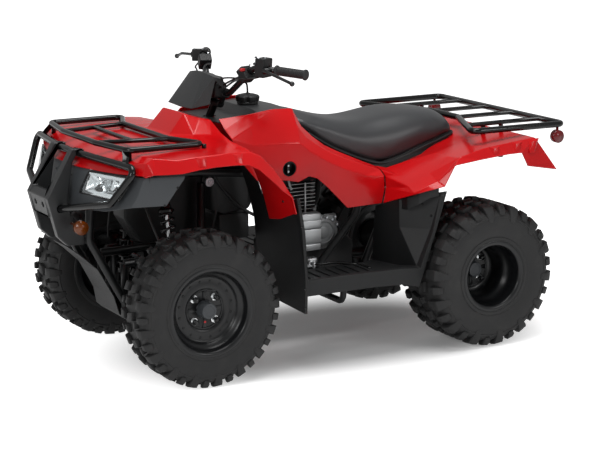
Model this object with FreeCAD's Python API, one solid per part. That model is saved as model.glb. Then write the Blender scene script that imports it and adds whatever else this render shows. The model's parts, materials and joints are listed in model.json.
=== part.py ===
import FreeCAD, Part
import math
import os

# A utility quad bike, in millimetres. +X points forward, +Y to the rider's left, +Z up.
# The origin is on the floor, under the centre of the whole machine.

# Driving dimensions
wheelbase = 1130.0
front_overhang = 425.0
rear_overhang = 370.0
front_track = 790.0
rear_track = 784.0
front_tyre_radius = 266.0
rear_tyre_radius = 263.0
front_tyre_width = 176.0
rear_tyre_width = 244.0
front_bead_radius = 140.0
rear_bead_radius = 114.0

# Clearances
seat_gap = 0.3
running_gap = 0.3
overrun = 3.0

# Walls
panel_wall = 4.0
rim_wall = 4.0

# Where the body panels' shares are counted from
body_reach = 500.0
body_half_width = 500.0
body_low_z = 500.0
body_height = 500.0

# Tyres
front_pitches = 17
rear_pitches = 14
facets_per_pitch = 2
lug_depth = 14.0
angle_tolerance = 1e-4
flat_tolerance = 1e-4
tiny = 1e-6
square_limit = 0.1
longest_trim_share = 0.45
sharpest_lean = 0.6

# Wheels
rim_flange_height = 16.0
rim_drop = 22.0
front_disc_offset = 26.0
rear_disc_offset = -38.0
dish_step = 12.0
hub_disc_radius = 66.0
hub_pilot_radius = 27.0
lug_nut_circle = 110.0
lug_nut_radius = 9.0
lug_nut_length = 20.0
wheel_nuts = 4

# Tubes
tube_sides = 12
frame_tube = 28.0
frame_tube_sides = 8
rack_tube = 20.0
rack_inner_tube = 16.0
rear_rack_tube = 23.0
rear_slat_tube = 17.0
bumper_tube = 24.0
rack_bend = 24.0
bumper_bend = 22.0
bar_tube = 22.0
bar_bend = 45.0

# Steering
column_run = 261.0
column_rise = 574.0
column_low_z = 330.0
column_tube = 28.0
pitman_radius = 60.0
pitman_hole_half_spacing = 14.0
kingpin_y = 325.0
rod_tube = 14.0
rod_stud = 10.0
rod_eye = 24.0
rod_eye_height = 16.0
stud_play = 3.0
arm_plate = 10.0

# Suspension
upper_ball_rise = 92.0
lower_ball_drop = 92.0
ball_radius = 18.0
ball_height = 30.0
neck_share = 0.42
arm_tube = 24.0
upper_arm_spread = 95.0
lower_arm_spread = 105.0
shock_coil_radius = 29.0
shock_body_radius = 13.0
spindle_radius = 14.0
hub_length = 46.0

# Rear axle
axle_radius = 16.0
axle_housing_radius = 34.0
axle_housing_half = 150.0
final_drive_radius = 88.0
final_drive_width = 90.0

# Frame
frame_half_width = 100.0
lower_rail_z = 196.0
upper_rail_z = 632.0

# Engine
crankcase_half_width = 110.0
cylinder_half = 52.0
fin_count = 10
fin_wall = 4.0
fin_pitch = 13.5

# Wheel details
drop_wide_share = 0.45
drop_narrow_share = 0.25
pilot_length = 30.0
lug_stud_radius = 6.0
hole_run_share = 4.0
rear_hub_length = 30.0

# Steering details
knuckle_boss_radius = 26.0
knuckle_boss_length = 26.0
arm_drop_gap = 5.0
stud_length = 28.0
column_foot = 30.0
clamp_half_spacing = 45.0
clamp_width = 24.0
clamp_wall = 7.0
riser_radius = 10.0
bar_rise = 34.0
visor_arm_share = 1.0
visor_arm_radius = 7.0
bar_flat = 76.0
bar_shoulder_x = -37.0
bar_shoulder_y = 200.0
bar_shoulder_z = 105.0
bar_end_x = -139.0
bar_end_y = 380.0
bar_end_z = 93.0
grip_length = 126.0
grip_cap = 6.0
grip_radius = 16.5
grip_flange = 5.0
lever_reach = 48.0
lever_splay = 62.0
lever_drop = 16.0
lever_radius = 5.0
lever_bracket_radius = 10.0
lever_clear = 1.0
lever_knee = 60.0
lever_length = 150.0
lever_ball_share = 1.8
lever_knee_share = 0.6
switch_place = 24.0
switch_lead = 10.0
switch_length = 34.0
switch_width = 46.0
switch_height = 52.0
perch_length = 38.0
perch_width = 56.0
perch_height = 66.0
perch_lead = 6.0
perch_rise = 6.0
throttle_length = 38.0
throttle_width = 60.0
throttle_height = 44.0
throttle_lead = 12.0
reservoir_length = 36.0
reservoir_width = 46.0
reservoir_height = 48.0
reservoir_rise = 12.0

# Suspension details
bush_share = 0.75
arm_bush_length = 44.0
upper_pivot_z = 375.0
lower_pivot_z = lower_rail_z
shock_foot_half = 18.0
shock_foot_y = 235.0
shock_foot_z = 192.0
shock_x = 12.0
shock_head_y = 142.0
shock_head_z = 613.6
shock_turns = 7
spring_sides = 10
spring_low_share = 0.20
spring_high_share = 0.82
rear_shock_radius = 32.0
shock_rear_x = 105.0
shock_eye_radius = 15.0
shock_eye_length = 32.0

# Frame details
frame_bend = 60.0
arm_rail_reach = 150.0
cup_share = 0.75
collar_share = 0.55
collar_cross = 2
collar_stay_radius = 9.0
stay_radius = 9.0
cover_stay_reach = 200.0
cover_stay_rise = 50.0
swing_pivot_x = -268.0
swing_pivot_z = 262.0
swing_tube = 26.0
swing_thin_tube = 21.0
swing_pivot_radius = 20.0
saddle_radius = 18.0
stay_x = -60.0
stay_y = 330.0
stay_tube = 22.0
stay_bend = 30.0
strut_tube = 26.0
strut_y = 150.0
hitch_length = 95.0
hitch_width = 70.0
hitch_plate = 8.0
hitch_hole_radius = 8.0

# Engine details
engine_x = -80.0
engine_length = 300.0
engine_low_z = 210.6
engine_height = 240.0
barrel_x = -50.0
barrel_half = 40.0
head_height = 48.0
head_share = 0.8
cover_x = -74.0
cover_z = 349.0
cover_length = 82.0
cover_depth = 34.0
cover_height = 138.0
cover_rib = 5.0
cover_ribs = 5
cover_disc_radius = 64.0
cover_disc_share = 0.6
cover_disc_rise = 0.43
header_reach = 60.0
header_tube = 34.0
header_bend = 45.0
header_drop = 100.0
header_side_share = 0.25
muffler_lead = 180.0
muffler_y = 185.0
muffler_z = 560.0
muffler_front_x = -410.0
muffler_length = 380.0
muffler_radius = 54.0

# Racks, tower and small pieces
front_rack_z = 815.0
rear_rack_z = 782.0
front_foot_reach = 90.0
tower_half_width = 95.0
leg_width = 30.0
slot_radius = 9.0
port_radius = 27.0
cap_radius = 40.0
cap_height = 34.0
cap_rib = 4.0
cap_rib_share = 0.8
cap_ribs = 12
lamp_depth = 60.0
lamp_fit_share = 0.99
lamp_back_share = 0.6
reflector_radius = 24.0
reflector_depth = 22.0
reflector_stay_radius = 5.0

# One turn of a spring: how far along its pitch, and its radius
spring_turn_shares = [(0.0, 0.66), (0.22, 1.0), (0.60, 1.0), (0.82, 0.66)]

# The frame's loop, from its low rear corner forwards and round, as shares of wheelbase and frame height
frame_loop_shares = [
    (-0.70, 0.0), (0.113, 0.0), (0.246, 0.63), (0.239, 1.02),
    (0.097, 1.09), (-0.124, 1.09), (-0.389, 1.018), (-0.70, 1.0), (-0.876, 1.0),
]
frame_tail_shares = [(0.274, 1.0), (0.035, 1.018), (-0.255, 1.018)]
front_stay_shares = [(0.05, 1.09), (-0.10, 1.09)]
tank_stay_shares = [(-0.37, 1.02)]
rear_stay_shares = [(-1.05, 1.018), (-1.20, 1.018)]
cover_stay_shares = [(-0.42, 1.018), (-0.64, 1.0)]
frame_cross_shares = [(-0.70, 0.0), (0.097, 1.09), (-0.175, 1.076), (-0.389, 1.018), (0.246, 0.63),
                      (-0.814, 1.0)]

crankcase_shares = [
    (-0.40, 0.0), (0.42, 0.0), (0.50, 0.20), (0.50, 0.62), (0.36, 0.80), (0.22, 1.0), (-0.24, 1.0),
    (-0.34, 0.80), (-0.50, 0.62), (-0.50, 0.20),
]
strut_shares = [(-0.126, 0.30, -0.404), (-0.44, 0.30, -0.06), (-0.47, 0.30, 0.12), (-0.49, 0.26, 0.24)]

# The skid plate, from its nose at the tower down and rearward
skid_shares = [
    [(0.685, 0, -0.096), (0.685, 0.12, -0.096)],
    [(0.60, 0, -0.165), (0.60, 0.15, -0.165)],
    [(0.479, 0, -0.276), (0.479, 0.17, -0.276)],
    [(0.367, 0, -0.48), (0.367, 0.18, -0.48)],
    [(0.338, 0, -0.60), (0.338, 0.20, -0.60)],
    [(0.288, 0, -0.6446), (0.288, 0.24, -0.6446)],
    [(-0.40, 0, -0.6446), (-0.40, 0.24, -0.6446)],
]

front_rack_shares = [(0.53, 0.28), (0.464, 0.68), (-0.098, 0.68), (0.03, 0.38)]
rack_foot_shares = [(-0.09, 0.68), (0.45, 0.66)]
rear_rack_shares = [(-0.216, 0.19), (0.08, 0.806)]
rear_rack_side_share = 0.826
rear_slat_shares = (0.176, 0.54)
rear_post_shares = (-0.20, -0.36)
bumper_shares = [(0.77, 0.12, 0.166), (0.62, 0.72, 0.292), (0.49, 0.86, 0.534), (0.616, 0.12, 0.55)]

# The tower from the side, as shares of the front overhang and of the body's height
tower_shares = [
    (0.675, 0.578), (0.781, 0.58), (1.0, 0.256), (0.915, -0.016), (0.83, -0.085), (0.6877, -0.085),
    (0.6877, -0.02), (0.774, 0.02), (0.798, 0.13), (0.828, 0.218), (0.775, 0.49), (0.735, 0.545),
    (0.675, 0.545),
]
tower_web_shares = [(0.93, 0.30), (0.97, 0.30), (1.0, 0.256), (0.958, 0.12), (0.913, 0.12)]
tower_slot_share = (0.95, 0.20)

# Body panels: rows from front to rear, each from the centre line or inner edge outwards
fender_shares = [
    [(0.645, 0, 0.47), (0.645, 0.17, 0.47), (0.635, 0.24, 0.47), (0.57, 0.50, 0.47), (0.51, 0.72, 0.48),
     (0.455, 0.86, 0.49), (0.445, 0.90, 0.485)],
    [(0.58, 0, 0.53), (0.58, 0.17, 0.53), (0.57, 0.26, 0.53), (0.51, 0.52, 0.54), (0.46, 0.72, 0.55),
     (0.42, 0.87, 0.57), (0.40, 0.93, 0.50)],
    [(0.38, 0, 0.575), (0.38, 0.17, 0.575), (0.38, 0.26, 0.575), (0.38, 0.55, 0.585), (0.38, 0.74, 0.595),
     (0.38, 0.88, 0.60), (0.28, 0.94, 0.494)],
    [(0.14, 0, 0.60), (0.14, 0.17, 0.60), (0.14, 0.26, 0.60), (0.16, 0.55, 0.60), (0.18, 0.74, 0.60),
     (0.22, 0.91, 0.58), (0.20, 0.955, 0.495)],
    [(-0.02, 0, 0.605), (-0.02, 0.182, 0.605), (-0.02, 0.28, 0.60), (0.02, 0.52, 0.60),
     (0.06, 0.74, 0.60),
     (0.09, 0.91, 0.59), (0.08, 0.955, 0.51)],
    [(-0.07, 0, 0.63), (-0.07, 0.182, 0.626), (-0.06, 0.30, 0.60), (-0.05, 0.50, 0.60),
     (-0.05, 0.74, 0.60),
     (-0.05, 0.91, 0.592), (-0.05, 0.955, 0.518)],
    [(-0.188, 0, 0.765), (-0.188, 0.168, 0.762), (-0.19, 0.32, 0.63), (-0.19, 0.50, 0.60),
     (-0.19, 0.72, 0.60),
     (-0.19, 0.905, 0.596), (-0.20, 0.955, 0.518)],
    [(-0.30, 0, 0.725), (-0.30, 0.20, 0.725), (-0.30, 0.36, 0.63), (-0.30, 0.53, 0.60),
     (-0.31, 0.74, 0.59),
     (-0.33, 0.90, 0.585), (-0.29, 0.955, 0.51)],
    [(-0.37, 0, 0.71), (-0.37, 0.22, 0.71), (-0.37, 0.38, 0.64), (-0.37, 0.53, 0.605),
     (-0.39, 0.72, 0.58),
     (-0.41, 0.90, 0.55), (-0.37, 0.955, 0.47)],
]
fender_leg_shares = [
    [(-0.37, 0.53, 0.605), (-0.39, 0.72, 0.58), (-0.41, 0.90, 0.55), (-0.37, 0.955, 0.47)],
    [(-0.50, 0.53, 0.50), (-0.51, 0.70, 0.47), (-0.518, 0.90, 0.44), (-0.496, 0.955, 0.36)],
    [(-0.57, 0.53, 0.36), (-0.575, 0.70, 0.35), (-0.584, 0.90, 0.352), (-0.546, 0.955, 0.314)],
    [(-0.63, 0.53, 0.20), (-0.63, 0.70, 0.21), (-0.634, 0.90, 0.274), (-0.62, 0.955, 0.262)],
    [(-0.675, 0.53, 0.03), (-0.67, 0.70, 0.06), (-0.66, 0.90, 0.13), (-0.655, 0.95, 0.14)],
]
front_guard_shares = [
    [(-0.651, 0.46, 0.20), (-0.651, 0.70, 0.21), (-0.651, 0.90, 0.23), (-0.661, 0.945, 0.25),
     (-0.675, 0.955, 0.24)],
    [(-0.70, 0.44, 0.00), (-0.70, 0.70, 0.00), (-0.70, 0.90, 0.00), (-0.705, 0.94, 0.01),
     (-0.72, 0.95, 0.00)],
    [(-0.735, 0.42, -0.34), (-0.735, 0.70, -0.34), (-0.735, 0.90, -0.34), (-0.735, 0.935, -0.34),
     (-0.745, 0.945, -0.34)],
    [(-0.735, 0.42, -0.56), (-0.735, 0.70, -0.57), (-0.735, 0.90, -0.575), (-0.735, 0.93, -0.575),
     (-0.745, 0.935, -0.575)],
]
guard_inner_shares = [
    [(-0.43, 0.25, 0.56), (-0.43, 0.435, 0.56)],
    [(-0.53, 0.25, 0.47), (-0.53, 0.46, 0.47)],
    [(-0.60, 0.25, 0.35), (-0.60, 0.46, 0.35)],
    [(-0.651, 0.25, 0.20), (-0.651, 0.46, 0.20)],
    [(-0.70, 0.25, 0.00), (-0.70, 0.44, 0.00)],
    [(-0.735, 0.25, -0.34), (-0.735, 0.42, -0.34)],
    [(-0.735, 0.25, -0.56), (-0.735, 0.42, -0.56)],
]
fascia_shares = [
    [(0.62, 0, 0.46), (0.62, 0.17, 0.46), (0.59, 0.36, 0.46), (0.49, 0.70, 0.465), (0.43, 0.86, 0.47),
     (0.17, 0.92, 0.475)],
    [(0.635, 0, 0.44), (0.635, 0.17, 0.44), (0.605, 0.36, 0.44), (0.50, 0.70, 0.445), (0.44, 0.86, 0.45),
     (0.18, 0.92, 0.45)],
    [(0.65, 0, 0.33), (0.65, 0.17, 0.33), (0.64, 0.36, 0.33), (0.54, 0.68, 0.33), (0.47, 0.84, 0.35),
     (0.24, 0.91, 0.37)],
    [(0.66, 0, 0.20), (0.66, 0.17, 0.20), (0.655, 0.36, 0.20), (0.60, 0.60, 0.22), (0.50, 0.80, 0.27),
     (0.29, 0.88, 0.28)],
]
headlight_cell = (1, 2)
side_cover_shares = [
    [(0.685, 0.31, 0.725), (0.685, 0.40, 0.665), (0.66, 0.46, 0.60), (0.63, 0.47, 0.52),
     (0.60, 0.48, 0.44)],
    [(0.50, 0.37, 0.75), (0.50, 0.43, 0.67), (0.50, 0.48, 0.55), (0.49, 0.49, 0.42), (0.485, 0.50, 0.30)],
    [(0.31, 0.38, 0.776), (0.31, 0.45, 0.68), (0.31, 0.515, 0.55), (0.30, 0.52, 0.40),
     (0.27, 0.51, 0.285)],
    [(0.15, 0.39, 0.774), (0.15, 0.46, 0.67), (0.15, 0.52, 0.54), (0.15, 0.525, 0.38),
     (0.157, 0.505, 0.262)],
    [(0.075, 0.395, 0.64), (0.075, 0.46, 0.57), (0.075, 0.52, 0.48), (0.075, 0.52, 0.38),
     (0.073, 0.505, 0.296)],
    [(-0.01, 0.40, 0.562), (-0.01, 0.47, 0.51), (-0.01, 0.515, 0.43), (-0.005, 0.515, 0.35),
     (0, 0.50, 0.272)],
    [(-0.11, 0.40, 0.49), (-0.11, 0.47, 0.45), (-0.12, 0.51, 0.37), (-0.12, 0.51, 0.27),
     (-0.085, 0.50, 0.198)],
    [(-0.22, 0.40, 0.436), (-0.22, 0.47, 0.40), (-0.23, 0.51, 0.32), (-0.235, 0.51, 0.19),
     (-0.247, 0.50, 0.036)],
    [(-0.41, 0.40, 0.354), (-0.41, 0.465, 0.33), (-0.405, 0.50, 0.26), (-0.40, 0.51, 0.16),
     (-0.385, 0.505, 0.04)],
    [(-0.54, 0.39, 0.30), (-0.55, 0.45, 0.28), (-0.555, 0.50, 0.24), (-0.55, 0.515, 0.15),
     (-0.53, 0.51, 0.045)],
]
side_port_share = (0.238, 0.51, 0.366)
tank_shares = [
    [(0.68, 0, 0.70), (0.68, 0.18, 0.70), (0.68, 0.29, 0.70)],
    [(0.42, 0, 0.70), (0.42, 0.20, 0.70), (0.42, 0.345, 0.70)],
    [(0.38, 0, 0.762), (0.38, 0.20, 0.765), (0.38, 0.355, 0.745)],
    [(0.22, 0, 0.765), (0.22, 0.20, 0.765), (0.22, 0.36, 0.755)],
    [(0.10, 0, 0.755), (0.10, 0.20, 0.75), (0.10, 0.36, 0.72)],
]
cap_share = (0.296, 0, 0.766)
column_hole_play = 9.0
seat_shoulder_share = 0.62
seat_low_share = 0.94
# The seat's sections: place, half width, then the heights of its crown, shoulder, side and low edge
seat_shares = [
    (0.08, 0.29, 0.735, 0.72, 0.685, 0.64),
    (-0.045, 0.32, 0.70, 0.69, 0.64, 0.56),
    (-0.225, 0.345, 0.648, 0.635, 0.56, 0.445),
    (-0.445, 0.36, 0.598, 0.585, 0.47, 0.35),
    (-0.625, 0.37, 0.612, 0.60, 0.45, 0.294),
    (-0.945, 0.36, 0.652, 0.635, 0.50, 0.385),
    (-1.185, 0.32, 0.604, 0.585, 0.52, 0.462),
    (-1.345, 0.22, 0.51, 0.505, 0.495, 0.484),
]
meter_shares = [
    [(-0.239, 0, 0.786), (-0.239, 0.188, 0.794), (-0.239, 0.19, 0.794), (-0.377, 0.194, 0.812)],
    [(-0.399, 0, 1.024), (-0.399, 0.06, 1.024), (-0.415, 0.19, 1.004), (-0.425, 0.192, 0.98)],
    [(-0.475, 0, 1.01), (-0.475, 0.06, 1.01), (-0.495, 0.18, 0.98), (-0.49, 0.185, 0.92)],
]
rear_deck_shares = [
    [(0.08, 0, 0.40), (0.08, 0.30, 0.40), (0.08, 0.62, 0.45), (0.08, 0.80, 0.456), (0.08, 0.94, 0.46),
     (0.12, 0.98, 0.39)],
    [(-0.16, 0, 0.46), (-0.16, 0.30, 0.465), (-0.16, 0.62, 0.484), (-0.16, 0.80, 0.484),
     (-0.16, 0.94, 0.484),
     (-0.12, 0.98, 0.408)],
    [(-0.32, 0, 0.50), (-0.32, 0.30, 0.50), (-0.32, 0.62, 0.50), (-0.32, 0.80, 0.50),
     (-0.316, 0.94, 0.498),
     (-0.24, 0.98, 0.41)],
    [(-0.39, 0, 0.504), (-0.39, 0.30, 0.504), (-0.39, 0.62, 0.504), (-0.39, 0.80, 0.504),
     (-0.382, 0.94, 0.504),
     (-0.30, 0.98, 0.312)],
    [(-0.60, 0, 0.36), (-0.60, 0.30, 0.36), (-0.60, 0.62, 0.34), (-0.59, 0.80, 0.30),
     (-0.582, 0.94, 0.258),
     (-0.552, 0.98, 0.27)],
]
rear_leg_shares = [
    [(0.637, 0.39, 0.30), (0.627, 0.45, 0.28), (0.622, 0.50, 0.24), (0.627, 0.515, 0.15),
     (0.645, 0.512, 0.045)],
    [(0.55, 0.40, 0.28), (0.58, 0.60, 0.256), (0.61, 0.80, 0.21), (0.63, 0.90, 0.186),
     (0.63, 0.91, 0.176)],
    [(0.42, 0.41, 0.31), (0.42, 0.62, 0.32), (0.43, 0.80, 0.29), (0.44, 0.91, 0.25), (0.41, 0.96, 0.22)],
    [(0.24, 0.38, 0.35), (0.26, 0.62, 0.40), (0.28, 0.80, 0.40), (0.28, 0.936, 0.41), (0.34, 0.98, 0.37)],
    [(0.08, 0.30, 0.40), (0.08, 0.62, 0.45), (0.08, 0.80, 0.456), (0.08, 0.94, 0.46), (0.12, 0.98, 0.39)],
]
floor_shares = [
    [(1.5244, 0.46, -0.40), (1.5244, 0.80, -0.40), (1.5244, 0.86, -0.35), (1.5244, 0.905, -0.352),
     (1.5244, 0.91, -0.462)],
    [(1.20, 0.42, -0.40), (1.20, 0.80, -0.40), (1.20, 0.86, -0.347), (1.20, 0.905, -0.349),
     (1.20, 0.91, -0.46)],
    [(0.96, 0.42, -0.40), (0.96, 0.80, -0.40), (0.96, 0.86, -0.348), (0.96, 0.905, -0.35),
     (0.96, 0.91, -0.46)],
    [(0.76, 0.42, -0.40), (0.74, 0.80, -0.40), (0.72, 0.86, -0.352), (0.72, 0.905, -0.354),
     (0.72, 0.91, -0.47)],
    [(0.68, 0.42, -0.39), (0.623, 0.70, -0.385), (0.578, 0.86, -0.36), (0.572, 0.905, -0.37),
     (0.582, 0.91, -0.505)],
]
guard_wall_shares = [
    [(0.68, 0.42, -0.39), (0.623, 0.70, -0.385), (0.578, 0.86, -0.36), (0.572, 0.905, -0.37),
     (0.582, 0.91, -0.505)],
    [(0.668, 0.42, -0.10), (0.625, 0.70, -0.10), (0.47, 0.87, -0.10), (0.46, 0.90, -0.10),
     (0.44, 0.905, -0.10)],
    [(0.655, 0.42, 0.012), (0.63, 0.70, 0.10), (0.39, 0.88, 0.165), (0.37, 0.90, 0.17),
     (0.354, 0.905, 0.17)],
]
tail_lamp_depth = 18.0
tail_lamp_half = 115.0
tail_lamp_height = 50.0
front_reflector_share = (0.677, 0.37, 0.072)
rear_reflector_share = (-0.667, 0.846, 0.474)

# Values worked out from those above
whole_length = front_overhang + wheelbase + rear_overhang
front_axle_x = whole_length / 2 - front_overhang
rear_axle_x = front_axle_x - wheelbase
frame_height = upper_rail_z - lower_rail_z
arm_pivot_y = frame_half_width + frame_tube / 2 + arm_tube * bush_share + seat_gap
column_tilt = math.atan2(column_run, column_rise)
column_length = math.hypot(column_run, column_rise)
UP = FreeCAD.Vector(0, 0, 1)
LEFT = FreeCAD.Vector(0, 1, 0)
FORWARD = FreeCAD.Vector(1, 0, 0)
bar_bore = bar_tube / 2 / math.cos(math.pi / tube_sides) + seat_gap
COLUMN_UP = FreeCAD.Vector(-math.sin(column_tilt), 0, math.cos(column_tilt))
ORIGIN = FreeCAD.Vector(0, 0, 0)


def vec(x, y, z):
    return FreeCAD.Vector(x, y, z)


def placer(start_x):
    """Turns shares of the body's reach, half width and height into a point, counted from start_x."""

    def place(x_share, y_share, z_share):
        return vec(start_x + body_reach * x_share, body_half_width * y_share,
                   body_low_z + body_height * z_share)

    return place


front = placer(front_axle_x)
middle = placer(0)
rear = placer(rear_axle_x)


def mirror_point(point):
    return vec(point.x, -point.y, point.z)


def other_side(shape):
    return shape.mirror(ORIGIN, LEFT)


def fuse(shapes):
    solid = shapes[0].fuse(shapes[1:]) if len(shapes) > 1 else shapes[0]
    return solid.removeSplitter()


def cylinder(base, axis, radius, length):
    return Part.makeCylinder(radius, length, base, axis)


def between(start, end, radius):
    return Part.makeCylinder(radius, (end - start).Length, start, end - start)


def box(low, high):
    size = high - low
    return Part.makeBox(size.x, size.y, size.z, low)


def prism(points, push):
    return Part.Face(Part.makePolygon(points + [points[0]])).extrude(push)


def flat_pieces(a, b, c, d):
    """A quad as one flat face where its corners lie in a plane, or else as two triangles."""
    normal = (c - a).cross(d - b)
    if normal.Length > tiny and abs((b - a).dot(normal.normalize())) < flat_tolerance:
        return [[a, b, c, d]]
    return [list(points) for points in quad_triangles(a, b, c, d)]


def closed_solid(outlines):
    """A solid from the outlines of its flat faces."""
    faces = [Part.Face(Part.makePolygon(outline + [outline[0]])) for outline in outlines]
    shell = Part.makeShell(faces)
    shell.sewShape()
    solid = Part.makeSolid(shell)
    if solid.Volume < 0:
        solid.reverse()
    return solid


def loft(sections):
    """A solid with flat facets between closed, flat sections of equally many points."""
    outlines = [list(reversed(sections[0])), sections[-1]]
    for first, second in zip(sections, sections[1:]):
        for index in range(len(first)):
            after = (index + 1) % len(first)
            outlines += flat_pieces(first[index], first[after], second[after], second[index])
    return closed_solid(outlines)


def revolve(points, base, axis):
    """Turns a closed outline of (along, radius) pairs about an axis."""
    side = axis.cross(UP)
    if side.Length < square_limit:
        side = axis.cross(FORWARD)
    side.normalize()
    line = [base + axis * along + side * radius for along, radius in points]
    face = Part.Face(Part.makePolygon(line + [line[0]]))
    return face.revolve(base, axis, 360)


def ring_points(centre, axis, radius, sides):
    """A flat ring of points round an axis, its sides' middles at the radius."""
    side = axis.cross(UP)
    if side.Length < square_limit:
        side = axis.cross(FORWARD)
    side.normalize()
    other = FreeCAD.Vector(axis).normalize().cross(side)
    reach = radius / math.cos(math.pi / sides)
    points = []
    for step in range(sides):
        angle = 2 * math.pi * (step + 1 / 2) / sides
        points.append(centre + side * (reach * math.cos(angle)) + other * (reach * math.sin(angle)))
    return points


def bent_path(points, bend):
    """Straight runs joined by tangent arcs, each arc limited by the runs beside it."""
    edges = []
    start = points[0]
    for before, corner, after in zip(points, points[1:], points[2:]):
        back = (before - corner).normalize()
        onward = (after - corner).normalize()
        half = back.getAngle(onward) / 2
        shorter = min((before - corner).Length, (after - corner).Length)
        trim = min(bend / math.tan(half), longest_trim_share * shorter)
        radius = trim * math.tan(half)
        first = corner + back * trim
        last = corner + onward * trim
        centre_line = (back + onward).normalize()
        middle_point = corner + centre_line * (radius / math.sin(half) - radius)
        edges.append(Part.LineSegment(start, first).toShape())
        edges.append(Part.Arc(first, middle_point, last).toShape())
        start = last
    edges.append(Part.LineSegment(start, points[-1]).toShape())
    return Part.Wire(edges)


def tube(points, diameter, bend, sides=tube_sides):
    path = bent_path(points, bend)
    corners = ring_points(points[0], points[1] - points[0], diameter / 2, sides)
    return path.makePipeShell([Part.makePolygon(corners + [corners[0]])], True, False)


def facet_normal(points):
    return (points[1] - points[0]).cross(points[2] - points[0])


def triangle(points):
    return Part.Face(Part.makePolygon(points + [points[0]]))


def point_key(point):
    return (round(point.x, 3), round(point.y, 3), round(point.z, 3))


def quad_triangles(a, b, c, d):
    """Splits a quad along its shorter diagonal and drops what has no area."""
    if (a - c).Length <= (b - d).Length:
        pairs = [(a, b, c), (a, c, d)]
    else:
        pairs = [(a, b, d), (b, c, d)]
    return [pair for pair in pairs if facet_normal(pair).Length > tiny]


def patch(rows):
    """The triangles between rows of points that all have the same number of points."""
    found = []
    for first, second in zip(rows, rows[1:]):
        for index in range(len(first) - 1):
            found += quad_triangles(first[index], first[index + 1], second[index + 1], second[index])
    return found


def moulded(triangles, wall):
    """A panel of even wall from its creased outer face, whose triangles share their corners."""
    corners = {}
    normals = {}
    for points in triangles:
        normal = facet_normal(points).normalize()
        for point in points:
            key = point_key(point)
            corners[key] = point
            normals.setdefault(key, []).append(normal)
    inner = {}
    for key, around in normals.items():
        mean = FreeCAD.Vector(0, 0, 0)
        for normal in around:
            mean += normal
        mean.normalize()
        lean = max(sharpest_lean, min(mean.dot(normal) for normal in around))
        inner[key] = corners[key] - mean * (wall / lean)
    edges = {}
    for points in triangles:
        keys = [point_key(point) for point in points]
        for index in range(3):
            edge = (keys[index], keys[(index + 1) % 3])
            edges[edge] = edges.get(edge, 0) + 1
    faces = []
    for points in triangles:
        keys = [point_key(point) for point in points]
        faces.append(triangle([corners[key] for key in keys]))
        faces.append(triangle([inner[key] for key in reversed(keys)]))
    for first, second in edges:
        if (second, first) not in edges:
            for points in quad_triangles(corners[first], inner[first], inner[second], corners[second]):
                faces.append(triangle(list(points)))
    shell = Part.makeShell(faces)
    shell.sewShape()
    solid = Part.makeSolid(shell)
    if solid.Volume < 0:
        solid.reverse()
    return solid


def full_rows(half_rows):
    """Rows from the right edge to the left edge, from rows that start on the centre line."""
    rows = []
    for half in half_rows:
        rows.append([mirror_point(point) for point in reversed(half[1:])] + half)
    return rows


def rows_from(place, table):
    return [[place(*shares) for shares in row] for row in table]


def both_sides(triangles):
    """The same triangles and their mirror images, turned round so that they still face outwards."""
    mirrored = [tuple(mirror_point(point) for point in reversed(points)) for points in triangles]
    return triangles + mirrored


# Tyres

# One side of a tyre's outline, from the tread's flat crown to the bead, as shares of its width and side height
tyre_outline_shares = [(0.30, 1.00), (0.495, 0.68), (0.42, 0.00)]

# One side of a shoulder lug, as shares of the tyre's width and of the height from bead to tip
shoulder_lug_shares = [(0.25, 0.80), (0.25, 1.00), (0.43, 0.97), (0.50, 0.62)]

# Lugs as shares of the width and of a pitch: (from, to) across the tyre, length around it, slant
front_centre_lug_share = (-0.10, 0.10, 0.30, 0.04)
rear_centre_lug_share = (0.03, 0.20, 0.34, 0.05)
front_shoulder_length_share = 0.40
rear_shoulder_length_share = 0.38


def tyre_section(carcass_radius, width, bead_radius):
    """Points (across, radius) from one bead over the crown to the other."""
    side_height = carcass_radius - bead_radius
    half = [(width * across, bead_radius + side_height * up) for across, up in tyre_outline_shares]
    return [(-across, radius) for across, radius in reversed(half)] + half


def polar(across, radius, angle):
    """A point beside the Y axis, its angle counted from straight down."""
    return vec(radius * math.sin(angle), across, -radius * math.cos(angle))


def flat_lug(low, high, centre_angle, length, slant, root, tip):
    """A tread block with a flat top and slanted ends."""
    up = polar(0, 1, centre_angle)
    along = polar(0, 1, centre_angle + math.pi / 2)
    half = length / 2
    corners = [(low, -half - slant), (high, -half + slant), (high, half + slant), (low, half - slant)]
    base = [LEFT * across + along * reach + up * root for across, reach in corners]
    return prism(base, up * (tip - root))


def shoulder_lug(outline, centre_angle, length):
    """A block that wraps from the tread over the shoulder, from its (across, radius) points."""
    up = polar(0, 1, centre_angle)
    along = polar(0, 1, centre_angle + math.pi / 2)
    side = [LEFT * across + up * radius - along * (length / 2) for across, radius in outline]
    return prism(side, along * length)


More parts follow.
